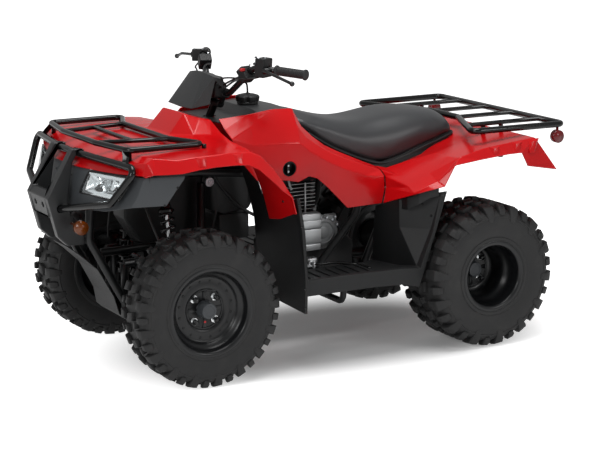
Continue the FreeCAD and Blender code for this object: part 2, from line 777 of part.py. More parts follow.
def tyre(outer_radius, width, bead_radius, pitches, centre_lug_share, shoulder_length_share):
    """One pitch with its lugs is modelled, then repeated around the wheel and closed into one solid."""
    pitch = 2 * math.pi / pitches
    step = pitch / facets_per_pitch
    section = tyre_section(outer_radius - lug_depth, width, bead_radius / math.cos(step / 2))
    lines = [[polar(across, radius, step * (part - facets_per_pitch / 2)) for across, radius in section]
             for part in range(facets_per_pitch + 1)]
    sectors = [loft([first, second]) for first, second in zip(lines, lines[1:])]
    lug_height = outer_radius - bead_radius
    shoulder = [(width * across, bead_radius + lug_height * up) for across, up in shoulder_lug_shares]
    length = pitch * outer_radius * shoulder_length_share
    shift = pitch / 2 / facets_per_pitch
    blocks = [shoulder_lug(shoulder, -shift, length)]
    blocks.append(shoulder_lug([(-across, radius) for across, radius in shoulder], shift, length))
    low_share, high_share, length_share, slant_share = centre_lug_share
    root = outer_radius - lug_depth * 2
    around = pitch * outer_radius
    low = width * low_share
    high = width * high_share
    length = around * length_share
    slant = around * slant_share
    blocks.append(flat_lug(low, high, shift, length, slant, root, outer_radius))
    if low > 0:
        blocks.append(flat_lug(-high, -low, -shift, length, slant, root, outer_radius))
    one_pitch = sectors[0].fuse(sectors[1:] + blocks).removeSplitter()
    faces = []
    for face in one_pitch.Faces:
        angles = [abs(math.atan2(v.X, -v.Z)) for v in face.Vertexes]
        if min(angles) < pitch / 2 - angle_tolerance:
            faces.append(face)
    turned = []
    for number in range(pitches):
        for face in faces:
            copy = face.copy()
            copy.rotate(ORIGIN, LEFT, 360.0 * number / pitches)
            turned.append(copy)
    shell = Part.makeShell(turned)
    shell.sewShape()
    return Part.makeSolid(shell)


def trimmed(stay, panel, shift, keep_at):
    """The piece of a stay that starts at keep_at and ends just short of a panel."""
    pieces = stay.cut(moved(panel, shift.x, shift.y, shift.z)).Solids
    return min(pieces, key=lambda piece: piece.distToShape(Part.Vertex(keep_at))[0])


def moved(shape, x, y, z):
    copy = shape.copy()
    copy.translate(vec(x, y, z))
    return copy


# Wheels


def flange_offset_of(tyre_radius, width, bead_radius):
    """How far from the wheel's middle a flange's outer face is, just clear of the tyre's side."""
    (wide_share, up_share), (bead_share, _) = tyre_outline_shares[1:]
    side_height = (tyre_radius - lug_depth - bead_radius) * up_share
    spread = width * (wide_share - bead_share) * rim_flange_height / side_height
    return width * bead_share + spread + seat_gap + rim_wall


def steel_rim(tyre_radius, width, bead_radius, disc_offset):
    """A pressed steel wheel about the Y axis, its outer face towards +Y."""
    flange_offset = flange_offset_of(tyre_radius, width, bead_radius)
    seat = bead_radius - seat_gap
    lip = bead_radius + rim_flange_height
    drop = seat - rim_drop
    inner = drop - rim_wall
    outline = [
        (-flange_offset, seat - rim_wall),
        (-flange_offset, lip),
        (-flange_offset + rim_wall, lip),
        (-flange_offset + rim_wall, seat),
        (-flange_offset * drop_wide_share, seat),
        (-flange_offset * drop_narrow_share, drop),
        (flange_offset * drop_narrow_share, drop),
        (flange_offset * drop_wide_share, seat),
        (flange_offset - rim_wall, seat),
        (flange_offset - rim_wall, lip),
        (flange_offset, lip),
        (flange_offset, seat - rim_wall),
        (flange_offset * drop_wide_share, seat - rim_wall),
        (flange_offset * drop_narrow_share, inner),
        (disc_offset + rim_wall, inner),
        (disc_offset + rim_wall * 2, hub_disc_radius + dish_step),
        (disc_offset, hub_disc_radius),
        (disc_offset, hub_pilot_radius),
        (disc_offset - rim_wall, hub_pilot_radius),
        (disc_offset - rim_wall, hub_disc_radius),
        (disc_offset - rim_wall, inner),
        (-flange_offset * drop_narrow_share, inner),
        (-flange_offset * drop_wide_share, seat - rim_wall),
    ]
    rim = revolve(outline, ORIGIN, LEFT)
    for number in range(wheel_nuts):
        hole = polar(disc_offset - rim_wall * 2, lug_nut_circle / 2, nut_angle(number))
        rim = rim.cut(cylinder(hole, LEFT, lug_stud_radius + seat_gap, rim_wall * hole_run_share))
    return rim


def nut_angle(number):
    return 2 * math.pi * (number + 1 / 2) / wheel_nuts


def wheel_hub(disc_offset, length):
    """The hub behind a wheel's disc with its pilot and four nuts, about the Y axis."""
    face = disc_offset - rim_wall - seat_gap
    hub = cylinder(LEFT * (face - length), LEFT, hub_disc_radius - rim_wall, length)
    pilot = cylinder(LEFT * (face - overrun), LEFT, hub_pilot_radius - seat_gap, pilot_length + overrun)
    shapes = [hub, pilot]
    for number in range(wheel_nuts):
        base = polar(face, lug_nut_circle / 2, nut_angle(number))
        shapes.append(cylinder(base + LEFT * (rim_wall + seat_gap * 2), LEFT, lug_nut_radius,
                               lug_nut_length))
        shapes.append(cylinder(base - LEFT * overrun, LEFT, lug_stud_radius, lug_nut_length))
    return shapes


# Steering and front suspension


def knuckle_arm_end(side):
    drop = pitman_radius * math.sin(column_tilt)
    return vec(front_axle_x - pitman_radius, side * (kingpin_y + pitman_hole_half_spacing),
               column_low_z - drop)


def pitman_ball(side):
    base = vec(front_axle_x, 0, column_low_z)
    back = vec(-math.cos(column_tilt), 0, -math.sin(column_tilt))
    return base + back * pitman_radius + LEFT * (side * pitman_hole_half_spacing)


def knuckle():
    """The left knuckle: an upright between its two ball housings, the spindle and the steering arm."""
    low = front_tyre_radius - lower_ball_drop
    high = front_tyre_radius + upper_ball_rise
    post = cylinder(vec(front_axle_x, kingpin_y, low), UP, ball_radius, high - low)
    boss = cylinder(vec(front_axle_x, kingpin_y, front_tyre_radius), LEFT, knuckle_boss_radius,
                    knuckle_boss_length)
    spindle_end = front_track / 2 + front_disc_offset
    spindle = cylinder(vec(front_axle_x, kingpin_y, front_tyre_radius), LEFT, spindle_radius,
                       spindle_end - kingpin_y)
    end = knuckle_arm_end(1)
    top = end.z - rod_eye_height / 2 - arm_drop_gap
    foot = top - arm_plate
    arm = prism([vec(front_axle_x, kingpin_y - arm_plate, foot),
                 vec(front_axle_x, kingpin_y + arm_plate, foot),
                 vec(end.x, end.y + arm_plate, foot),
                 vec(end.x, end.y - arm_plate, foot)], UP * arm_plate)
    eye = cylinder(vec(end.x, end.y, top - arm_plate), UP, rod_eye / 2, arm_plate)
    stud = cylinder(vec(end.x, end.y, top - overrun), UP, rod_stud / 2, stud_length + overrun)
    return fuse([post, boss, spindle, arm, eye, stud])


def front_hub():
    """The left front hub and its nuts, turning on the spindle."""
    shapes = wheel_hub(front_disc_offset, hub_length)
    bore = cylinder(LEFT * (-hub_length - front_track), LEFT, spindle_radius + running_gap,
                    front_track + hub_length + front_disc_offset + running_gap)
    return fuse(shapes).cut(bore)


def tie_rod(side):
    """A rod with an open eye over the knuckle arm's stud and a pinned eye at the pitman arm."""
    inner = pitman_ball(side)
    outer = knuckle_arm_end(side)
    shank = between(inner, outer, rod_tube / 2)
    outer_eye = cylinder(outer - UP * (rod_eye_height / 2), UP, rod_eye / 2, rod_eye_height)
    inner_eye = cylinder(inner - COLUMN_UP * (rod_eye_height / 2), COLUMN_UP, rod_eye / 2 - stud_play,
                         rod_eye_height)
    rod = shank.fuse([outer_eye, inner_eye])
    outer_hole = cylinder(outer - UP * rod_eye, UP, rod_stud / 2 + stud_play, rod_eye * 2)
    inner_hole = cylinder(inner - COLUMN_UP * rod_eye, COLUMN_UP, rod_stud / 2 + running_gap, rod_eye * 2)
    return rod.cut(outer_hole).cut(inner_hole).removeSplitter()


def steering_stem():
    """The column with its pitman plate and two studs below, and the bar clamps on top."""
    base = vec(front_axle_x, 0, column_low_z)
    shaft = cylinder(base - COLUMN_UP * column_foot, COLUMN_UP, column_tube / 2,
                     column_length + column_foot)
    plate_top = -rod_eye_height / 2 - seat_gap
    shapes = [shaft]
    back = vec(-math.cos(column_tilt), 0, -math.sin(column_tilt))
    width = pitman_hole_half_spacing + rod_eye / 2
    corners = [base + LEFT * (-column_tube / 2), base + LEFT * (column_tube / 2),
               base + back * (pitman_radius + rod_eye / 2) + LEFT * width,
               base + back * (pitman_radius + rod_eye / 2) - LEFT * width]
    plate = prism([corner + COLUMN_UP * (plate_top - arm_plate) for corner in corners],
                  COLUMN_UP * arm_plate)
    shapes.append(plate)
    for side in (1, -1):
        ball = pitman_ball(side)
        shapes.append(cylinder(ball + COLUMN_UP * (plate_top - overrun), COLUMN_UP, rod_stud / 2,
                               rod_eye_height + overrun * 2))
    head = base + COLUMN_UP * column_length
    for side in (1, -1):
        low = head + LEFT * (side * clamp_half_spacing - clamp_width / 2)
        shapes.append(between(low + COLUMN_UP * bar_rise, low + LEFT * clamp_width + COLUMN_UP * bar_rise,
                              bar_tube / 2 + clamp_wall))
        shapes.append(between(low + LEFT * (clamp_width / 2) - COLUMN_UP * clamp_wall,
                              low + LEFT * (clamp_width / 2) + COLUMN_UP * bar_rise, riser_radius))
    bridge = between(head - LEFT * clamp_half_spacing - COLUMN_UP * clamp_wall,
                     head + LEFT * clamp_half_spacing - COLUMN_UP * clamp_wall, column_tube / 2)
    shapes.append(bridge)
    bar_centre = head + COLUMN_UP * bar_rise
    hole = cylinder(bar_centre - LEFT * front_track / 2, LEFT, bar_bore, front_track)
    arm_start = base + COLUMN_UP * (column_length * visor_arm_share)
    arm = between(arm_start, vec(front_axle_x, 0, arm_start.z), visor_arm_radius)
    shapes.append(trimmed(arm, meter_cover(), FORWARD * -seat_gap, arm_start))
    return fuse(shapes).cut(hole)


def bar_points():
    """The handlebar's route from its middle to its left end."""
    head = vec(front_axle_x, 0, column_low_z) + COLUMN_UP * (column_length + bar_rise)
    return [head, head + LEFT * bar_flat, head + vec(bar_shoulder_x, bar_shoulder_y, bar_shoulder_z),
            head + vec(bar_end_x, bar_end_y, bar_end_z)]


def handlebar():
    half = bar_points()
    points = [mirror_point(point) for point in reversed(half[1:])] + half[1:]
    return tube(points, bar_tube, bar_bend)


def along_bar(distance):
    """A point on the bar's left end run, counted inwards from its end, and the run's direction."""
    points = bar_points()
    outward = (points[-1] - points[-2]).normalize()
    return points[-1] - outward * distance, outward


def grip():
    start, outward = along_bar(grip_length)
    sleeve = cylinder(start, outward, grip_radius, grip_length + grip_cap)
    bore = cylinder(start - outward * overrun, outward, bar_bore, grip_length + overrun + seat_gap)
    flange = cylinder(start, outward, grip_radius + grip_flange, grip_flange)
    tip = cylinder(start + outward * (grip_length + grip_cap - grip_flange), outward,
                   grip_radius + grip_flange / 2, grip_flange)
    return fuse([sleeve, flange, tip]).cut(bore)


def control_box(start, outward, length, width, height, lead, rise):
    """A housing round the bar from a point on its line, its bore the bar's size."""
    side = outward.cross(UP).normalize()
    top = side.cross(outward).normalize()
    corner = start + side * (lead - width / 2) + top * (rise - height / 2)
    points = [corner, corner + side * width, corner + side * width + top * height, corner + top * height]
    body = prism(points, outward * length)
    bore = cylinder(start - outward * overrun, outward, bar_bore, length + overrun * 2)
    return body.cut(bore)


def beside_lever(length):
    """Where a housing starts that ends just inside the lever's bracket."""
    return along_bar(lever_place() + lever_bracket_radius + lever_clear + length)


def left_controls():
    """The lever's perch beside the grip, and the switch box on the bar's rising run."""
    start, outward = beside_lever(perch_length)
    perch = control_box(start, outward, perch_length, perch_width, perch_height, perch_lead, perch_rise)
    points = bar_points()
    inward = (points[1] - points[2]).normalize()
    start = points[2] + inward * (switch_place + switch_length)
    switch = control_box(start, -inward, switch_length, switch_width, switch_height, switch_lead, 0)
    return Part.makeCompound([perch, switch])


def right_controls():
    """The thumb throttle's case beside the grip, and the brake's reservoir on the bar's rising run."""
    start, outward = beside_lever(throttle_length)
    case = control_box(start, outward, throttle_length, throttle_width, throttle_height, throttle_lead, 0)
    points = bar_points()
    inward = (points[1] - points[2]).normalize()
    start = points[2] + inward * (switch_place + reservoir_length)
    tank = control_box(start, -inward, reservoir_length, reservoir_width, reservoir_height, 0,
                       reservoir_rise)
    return other_side(Part.makeCompound([case, tank]))


def lever(distance):
    """A brake lever ahead of the grip, from its bracket to its ball end."""
    start, outward = along_bar(distance)
    ahead = outward.cross(UP).normalize()
    pivot = start + ahead * lever_reach
    bracket = between(start + ahead * bar_bore, pivot, lever_bracket_radius)
    end = pivot + outward * lever_length + ahead * lever_splay - UP * lever_drop
    knee = pivot + outward * lever_knee + ahead * (lever_splay * lever_knee_share)
    blade = tube([pivot - ahead * lever_radius, knee, end], lever_radius * 2, lever_knee / 2,
                 frame_tube_sides)
    ball = Part.makeSphere(lever_radius * lever_ball_share, end)
    return fuse([bracket, blade, ball])


def upper_arm():
    """The left upper wishbone: two legs from the frame to one ball housing."""
    high = front_tyre_radius + upper_ball_rise
    centre = vec(front_axle_x, kingpin_y, high + seat_gap)
    shapes = [cylinder(centre, UP, ball_radius, ball_height)]
    for spread in (upper_arm_spread, -upper_arm_spread):
        pivot = vec(front_axle_x + spread, arm_pivot_y, upper_pivot_z)
        neck = centre + UP * (ball_height * (1 - neck_share))
        shapes.append(between(pivot, neck, arm_tube / 2))
        shapes.append(cylinder(pivot - FORWARD * (arm_bush_length / 2), FORWARD, arm_tube * bush_share,
                               arm_bush_length))
    return fuse(shapes)


def lower_arm():
    """The left lower wishbone, with the saddle that carries the shock's foot."""
    low = front_tyre_radius - lower_ball_drop
    centre = vec(front_axle_x, kingpin_y, low - seat_gap - ball_height)
    shapes = [cylinder(centre, UP, ball_radius, ball_height)]
    neck = centre + UP * (ball_height * neck_share)
    for spread in (lower_arm_spread, -lower_arm_spread):
        pivot = vec(front_axle_x + spread, arm_pivot_y, lower_pivot_z)
        shapes.append(between(pivot, neck, arm_tube / 2))
        shapes.append(cylinder(pivot - FORWARD * (arm_bush_length / 2), FORWARD, arm_tube * bush_share,
                               arm_bush_length))
    half = lower_arm_spread * (kingpin_y - shock_foot_y) / (kingpin_y - arm_pivot_y)
    saddle_low = vec(front_axle_x - half, shock_foot_y - shock_foot_half, low - arm_plate / 2)
    saddle_high = vec(front_axle_x + half, shock_foot_y + shock_foot_half, shock_foot_z - seat_gap)
    shapes.append(box(saddle_low, saddle_high))
    return fuse(shapes)


def shock(foot, head, radius):
    """A damper with the turns of its coil spring as rings on its body."""
    axis = (head - foot).normalize()
    length = (head - foot).Length
    start = length * spring_low_share
    run = length * (spring_high_share - spring_low_share)
    turn = run / shock_turns
    outline = [(0, shock_body_radius), (start, shock_body_radius)]
    for number in range(shock_turns):
        for along_share, radius_share in spring_turn_shares:
            outline.append((start + turn * (number + along_share), radius * radius_share))
    outline += [(start + run, shock_body_radius), (length, shock_body_radius)]
    sections = [ring_points(foot + axis * along, axis, reach, spring_sides) for along, reach in outline]
    return loft(sections)


# Frame


def frame_side(fender, tank, rear_deck, cover):
    """The left side of the frame: its loop, the arm rail, the seat rail and the stays up to the panels."""
    y = frame_half_width
    low = lower_rail_z
    loop = [vec(front_axle_x + share_x * wheelbase, y, low + share_z * frame_height)
            for share_x, share_z in frame_loop_shares]
    start = (loop[0] + loop[1]) / 2
    route = [start] + loop[1:] + [loop[0], start]
    shapes = [tube(route, frame_tube, frame_bend, frame_tube_sides)]
    rail_z = upper_pivot_z
    shapes.append(tube([vec(front_axle_x + arm_rail_reach, y, rail_z),
                        vec(front_axle_x - arm_rail_reach, y, rail_z)],
                       frame_tube, frame_bend, frame_tube_sides))
    for end, rise in ((arm_rail_reach, 0), (-arm_rail_reach, 1)):
        top = upper_rail_z if rise else rail_z
        foot = vec(front_axle_x + end, y, low)
        shapes.append(tube([foot, vec(foot.x, y, top)], frame_tube, frame_bend, frame_tube_sides))
    tail = [vec(rear_axle_x + share_x * wheelbase, y, low + share_z * frame_height)
            for share_x, share_z in frame_tail_shares]
    shapes.append(tube(tail, frame_tube, frame_bend, frame_tube_sides))
    for panel, stays in ((fender, front_stay_shares), (tank, tank_stay_shares),
                         (rear_deck, rear_stay_shares)):
        for share_x, share_z in stays:
            foot = vec(front_axle_x + share_x * wheelbase, y, low + share_z * frame_height)
            stay = tube([foot, foot + UP * body_height], stay_radius * 2, frame_bend, frame_tube_sides)
            shapes.append(trimmed(stay, panel, UP * -seat_gap, foot))
    for share_x, share_z in cover_stay_shares:
        foot = vec(front_axle_x + share_x * wheelbase, y, low + share_z * frame_height)
        end = foot + vec(0, cover_stay_reach, cover_stay_rise)
        stay = tube([foot, end], stay_radius * 2, frame_bend, frame_tube_sides)
        shapes.append(trimmed(stay, cover, LEFT * -seat_gap, foot))
    return fuse(shapes)


def cross_tube(place, half, diameter=frame_tube):
    return tube([place - LEFT * half, place + LEFT * half], diameter, frame_bend, frame_tube_sides)


def frame_cross():
    """Cross tubes between the two sides, the column's bearings and the shocks' bridges."""
    reach = frame_half_width - frame_tube / 2 - seat_gap
    shapes = []
    for share_x, share_z in frame_cross_shares:
        place = vec(front_axle_x + share_x * wheelbase, 0, lower_rail_z + share_z * frame_height)
        shapes.append(cross_tube(place, reach))
    base = vec(front_axle_x, 0, column_low_z)
    foot = base - COLUMN_UP * (column_foot + running_gap)
    low_tube = vec(foot.x - column_tube, 0, lower_rail_z)
    shapes.append(cross_tube(low_tube, reach))
    cup = cylinder(foot - COLUMN_UP * column_tube, COLUMN_UP, column_tube * cup_share, column_tube)
    post = between(vec(low_tube.x + column_tube * cup_share, 0, lower_rail_z),
                   foot - COLUMN_UP * (column_tube / 2),
                   frame_tube / 2)
    collar_at = base + COLUMN_UP * (column_length * collar_share)
    collar = cylinder(collar_at, COLUMN_UP, column_tube * cup_share, column_tube)
    shapes += [cup, post, collar]
    stay_z = lower_rail_z + frame_cross_shares[collar_cross][1] * frame_height
    stay_x = front_axle_x + frame_cross_shares[collar_cross][0] * wheelbase
    for side in (1, -1):
        top = collar_at + COLUMN_UP * (column_tube / 2) + LEFT * (side * column_tube * cup_share)
        shapes.append(between(vec(stay_x, side * frame_half_width / 2, stay_z), top, collar_stay_radius))
    head = shock_ends()[1]
    bridge_z = head.z + shock_eye_radius + seat_gap + frame_tube / 2
    shapes.append(cross_tube(vec(head.x, 0, bridge_z), head.y + shock_eye_radius))
    bore = cylinder(base, COLUMN_UP, column_tube / 2 + running_gap, column_length)
    return fuse(shapes).cut(bore)


# Engine


def crankcase():
    points = [middle_engine(*share) for share in crankcase_shares]
    return prism(points, LEFT * (crankcase_half_width * 2))


def middle_engine(x_share, z_share):
    return vec(engine_x + engine_length * x_share, -crankcase_half_width,
               engine_low_z + engine_height * z_share)


def engine_cylinder():
    """The cylinder's barrel with its stack of cooling fins, and the head above."""
    base_z = engine_low_z + engine_height + seat_gap
    stack = fin_count * fin_pitch
    barrel = box(vec(barrel_x - barrel_half, -barrel_half, base_z),
                 vec(barrel_x + barrel_half, barrel_half,
                                                                       base_z + stack + head_height))
    shapes = [barrel]
    for number in range(fin_count):
        low = base_z + fin_pitch * (number + 1 / 2)
        shapes.append(box(vec(barrel_x - cylinder_half, -cylinder_half, low),
                          vec(barrel_x + cylinder_half, cylinder_half, low + fin_wall)))
    top = base_z + stack + fin_pitch / 2
    shapes.append(box(vec(barrel_x - cylinder_half * head_share, -cylinder_half * head_share, top),
                      vec(barrel_x + cylinder_half * head_share, cylinder_half * head_share,
                          top + head_height)))
    return fuse(shapes)


def engine_left_cover():
    """The ribbed cover and the round cover behind it, on the crankcase's left face."""
    face_y = crankcase_half_width + seat_gap
    low = vec(cover_x, face_y, cover_z)
    block = box(low, low + vec(cover_length, cover_depth, cover_height))
    shapes = [block]
    for number in range(cover_ribs):
        z = cover_z + cover_height * (number + 1 / 2) / cover_ribs
        shapes.append(box(vec(cover_x, face_y + cover_depth - overrun, z - cover_rib / 2),
                          vec(cover_x + cover_length, face_y + cover_depth + cover_rib,
                              z + cover_rib / 2)))
    disc = cylinder(vec(cover_x - cover_disc_radius / 3, face_y,
                        cover_z + cover_height * cover_disc_rise), LEFT,
                    cover_disc_radius, cover_depth * cover_disc_share)
    return fuse(shapes + [disc])


def exhaust():
    """The header pipe from the head's front down the right side, and the muffler behind."""
    head_z = engine_low_z + engine_height + fin_count * fin_pitch + head_height / 2
    start = vec(barrel_x + cylinder_half * head_share + seat_gap, 0, head_z)
    ahead = start + FORWARD * header_reach
    side_y = -muffler_y
    end = vec(muffler_front_x, side_y, muffler_z)
    below = vec(ahead.x, side_y * header_side_share, head_z - header_drop)
    route = [start, ahead, below, vec(ahead.x - header_reach, side_y, below.z),
             vec(end.x + muffler_lead, side_y, muffler_z), end - FORWARD * overrun]
    pipe = tube(route, header_tube, header_bend, frame_tube_sides)
    body = between(end - FORWARD * muffler_length, end, muffler_radius)
    tip = between(end - FORWARD * (muffler_length + header_reach / 2), end - FORWARD * overrun,
                  header_tube / 2)
    return fuse([pipe, body, tip])


# Rear axle and its carrier


def axle_point(y):
    return vec(rear_axle_x, y, rear_tyre_radius)


def axle_shaft():
    """The solid rear axle with its two wheel hubs."""
    shapes = [between(axle_point(-axle_end_y()), axle_point(axle_end_y()), axle_radius)]
    for side in (1, -1):
        hub = wheel_hub(rear_disc_offset, rear_hub_length)
        for piece in hub:
            if side < 0:
                piece = other_side(piece)
            shapes.append(moved(piece, rear_axle_x, side * rear_track / 2, rear_tyre_radius))
    return fuse(shapes)


def axle_end_y():
    return rear_track / 2 + rear_disc_offset


def swingarm():
    """The axle's housing tube, the final drive case and the two arms to the pivot."""
    housing = between(axle_point(-axle_housing_half), axle_point(axle_housing_half), axle_housing_radius)
    drive = between(axle_point(-axle_housing_half + overrun),
                    axle_point(-axle_housing_half + final_drive_width),
                    final_drive_radius)
    pivot = vec(swing_pivot_x, 0, swing_pivot_z)
    reach = frame_half_width - frame_tube / 2 - seat_gap
    shapes = [housing, drive, between(pivot - LEFT * reach, pivot + LEFT * reach, swing_pivot_radius)]
    y = reach - swing_tube - overrun
    for side, radius in ((-1, swing_tube), (1, swing_thin_tube)):
        shapes.append(between(vec(pivot.x, side * y, pivot.z), axle_point(side * y), radius))
    saddle = vec(rear_axle_x + shock_rear_x, 0, rear_tyre_radius)
    shapes.append(between(saddle - LEFT * y, saddle + LEFT * y, saddle_radius))
    bore = between(axle_point(-rear_track), axle_point(rear_track), axle_radius + running_gap)
    return fuse(shapes).cut(bore)


def tow_hitch():
    """A plate bolted behind the axle housing with one upright hole."""
    front_x = rear_axle_x - axle_housing_radius - seat_gap
    low = vec(front_x - hitch_length, -hitch_width / 2, rear_tyre_radius - hitch_plate / 2)
    plate = box(low, low + vec(hitch_length, hitch_width, hitch_plate))
    foot = box(vec(front_x - hitch_plate, -hitch_width / 2, rear_tyre_radius - hitch_width / 2),
               vec(front_x, hitch_width / 2, rear_tyre_radius + hitch_width / 2))
    hole = cylinder(vec(front_x - hitch_length + hitch_width / 2, 0, 0), UP, hitch_hole_radius,
                    rear_tyre_radius * 2)
    return fuse([plate, foot]).cut(hole)


# Racks and bumper


def rack_points(table, z):
    return [vec(front_axle_x + body_reach * x, body_half_width * y, z) for x, y in table]


def closed_tube(points, diameter, bend):
    start = (points[-1] + points[0]) / 2
    return tube([start] + points + [start], diameter, bend)


def loop_of(half):
    """A closed route from its left half, given from the centre's front to the centre's rear."""
    return half + [mirror_point(point) for point in reversed(half)]


def front_rack(fender):
    """The outer loop with its rear notch, two inner rails, a cross tube and its feet."""
    z = front_rack_z
    points = rack_points(front_rack_shares, z)
    shapes = [closed_tube(loop_of(points), rack_tube, rack_bend)]
    kink_front = points[0]
    kink_rear = points[-1]
    for side in (1, -1):
        start = vec(kink_front.x, side * kink_front.y, z)
        end = vec(kink_rear.x, side * kink_rear.y, z)
        shapes.append(between(start, end, rack_inner_tube / 2))
    mid = (kink_front + kink_rear) / 2
    shapes.append(between(mid, mirror_point(mid), rack_inner_tube / 2))
    for x_share, y_share in rack_foot_shares:
        for side in (1, -1):
            top = vec(front_axle_x + body_reach * x_share, side * body_half_width * y_share, z)
            foot = between(top, top - UP * front_foot_reach, rack_inner_tube / 2)
            shapes.append(trimmed(foot, fender, UP * seat_gap, top))
    return fuse(shapes)


def rear_rack(deck):
    """The outer loop, four slats along it and its four posts."""
    z = rear_rack_z
    half = [vec(rear_axle_x + body_reach * x, body_half_width * y, z) for x, y in rear_rack_shares]
    back_x = -whole_length / 2 + rear_rack_tube / 2
    half.append(vec(back_x, body_half_width * rear_rack_side_share, z))
    shapes = [closed_tube(loop_of(half), rear_rack_tube, rack_bend)]
    corner, inner = half[1], half[0]
    for y_share in rear_slat_shares:
        y = body_half_width * y_share
        along = max(0.0, (y - inner.y) / (corner.y - inner.y))
        front_x = inner.x + (corner.x - inner.x) * along
        for side in (1, -1):
            shapes.append(between(vec(front_x, side * y, z), vec(back_x, side * y, z),
                                  rear_slat_tube / 2))
    for x_share in rear_post_shares:
        for side in (1, -1):
            top = vec(rear_axle_x + body_reach * x_share, side * body_half_width * rear_slat_shares[1], z)
            foot = between(top, top - UP * front_foot_reach, rear_slat_tube / 2)
            shapes.append(trimmed(foot, deck, UP * seat_gap, top))
    return fuse(shapes)


def bumper_point(share):
    return front(*share)


def tower_point(x_share, z_share):
    return vec(front_axle_x + front_overhang * x_share, 0, body_low_z + body_height * z_share)


def bumper_tubes():
    """Two side hoops joined by their cross bars through the tower."""
    half = [bumper_point(share) for share in bumper_shares]
    return closed_tube(loop_of(half), bumper_tube, bumper_bend)


def bumper_cover(tubes):
    """The moulded tower: two legs with hooked tops, joined by a web with two slots."""
    legs = []
    outline = [tower_point(x, z) for x, z in tower_shares]
    for side in (1, -1):
        start = side * tower_half_width - (leg_width if side > 0 else 0)
        legs.append(prism([point + LEFT * start for point in outline], LEFT * leg_width))
    inner = tower_half_width - leg_width
    web = prism([tower_point(x, z) - LEFT * (inner + overrun) for x, z in tower_web_shares],
                LEFT * (2 * (inner + overrun)))
    solid = fuse(legs + [web])
    for side in (1, -1):
        centre = tower_point(*tower_slot_share) + LEFT * (side * inner / 2)
        solid = solid.cut(cylinder(centre - FORWARD * body_reach / 2, FORWARD, slot_radius, body_reach))
    half = [bumper_point(share) for share in bumper_shares]
    around = closed_tube(loop_of(half), bumper_tube + seat_gap * 2, bumper_bend)
    return solid.cut(around)


# Body panels


def skin(table, place, wall=panel_wall):
    return moulded(patch(full_rows(rows_from(place, table))), wall)


def half_skin(tables, place, wall=panel_wall):
    triangles = []
    for table in tables:
        triangles += patch(rows_from(place, table))
    return moulded(triangles, wall)


def front_fender():
    """The hood, its raised pod and both front fenders in one moulding."""
    triangles = patch(full_rows(rows_from(front, fender_shares)))
    triangles += both_sides(patch(rows_from(front, fender_leg_shares)))
    return moulded(triangles, panel_wall)


def rear_fender():
    triangles = patch(full_rows(rows_from(rear, rear_deck_shares)))
    triangles += both_sides(patch(rows_from(rear, rear_leg_shares)))
    return moulded(triangles, panel_wall)


def front_fascia():
    """The grey nose panel, with an opening for each headlight."""
    rows = rows_from(front, fascia_shares)
    triangles = []
    for number in range(len(rows) - 1):
        for index in range(len(rows[0]) - 1):
            if (number, index) != headlight_cell:
                part = [rows[number][index:index + 2], rows[number + 1][index:index + 2]]
                triangles += patch(part)
    return moulded(both_sides(triangles), panel_wall)


def headlight():
    """The left lamp: a clear wedge that fills the fascia's opening."""
    rows = rows_from(front, fascia_shares)
    number, index = headlight_cell
    corners = [rows[number][index], rows[number][index + 1], rows[number + 1][index + 1],
               rows[number + 1][index]]
    middle_point = (corners[0] + corners[1] + corners[2] + corners[3]) / len(corners)
    face = [middle_point + (corner - middle_point) * lamp_fit_share for corner in corners]
    back = [middle_point - FORWARD * lamp_depth + (point - middle_point) * lamp_back_share for point in face]
    ring = []
    for index in range(len(face)):
        after = (index + 1) % len(face)
        ring += [[face[index], face[after], back[after]], [face[index], back[after], back[index]]]
    outlines = [[face[0], face[1], face[2]], [face[0], face[2], face[3]], [back[2], back[1], back[0]],
                [back[3], back[2], back[0]]]
    return closed_solid(outlines + ring)


def side_cover():
    """The left side panel with its round port."""
    solid = half_skin([side_cover_shares], middle)
    port = middle(*side_port_share)
    return solid.cut(cylinder(port - LEFT * port_radius, LEFT, port_radius, port_radius * 2))


def tank_cover():
    """The black top of the tank, with its lower deck round the steering column."""
    hole = cylinder(vec(front_axle_x, 0, column_low_z), COLUMN_UP, column_tube / 2 + column_hole_play,
                    column_length)
    return skin(tank_shares, middle).cut(hole)


def fuel_cap():
    """A ribbed round cap."""
    base = middle(*cap_share)
    shapes = [cylinder(base, UP, cap_radius, cap_height)]
    for number in range(cap_ribs):
        angle = 2 * math.pi * number / cap_ribs
        centre = base + vec(math.cos(angle), math.sin(angle), 0) * cap_radius
        shapes.append(cylinder(centre, UP, cap_rib, cap_height * cap_rib_share))
    return fuse(shapes)


def seat():
    sections = []
    for x, half_width, top, shoulder, side, low in seat_shares:
        half = [(0, top), (half_width * seat_shoulder_share, shoulder), (half_width, side),
                (half_width * seat_low_share, low)]
        right = [(-y, z) for y, z in reversed(half[1:])]
        sections.append([middle(x, y, z) for y, z in half + right])
    sections[0].reverse()
    for section in sections[1:]:
        section.reverse()
    return loft_triangles(sections)


def loft_triangles(sections):
    outlines = [list(reversed(sections[0])), list(sections[-1])]
    for first, second in zip(sections, sections[1:]):
        for index in range(len(first)):
            after = (index + 1) % len(first)
            outlines += [list(p) for p in quad_triangles(first[index], first[after], second[after],
                                                         second[index])]
    return closed_solid(outlines)


def front_guard():
    return half_skin([front_guard_shares, guard_inner_shares], front)


def rear_guard():
    return half_skin([floor_shares, guard_wall_shares], rear)


def meter_cover():
    """The angular cover in front of the bars."""
    return skin(meter_shares, front, panel_wall)


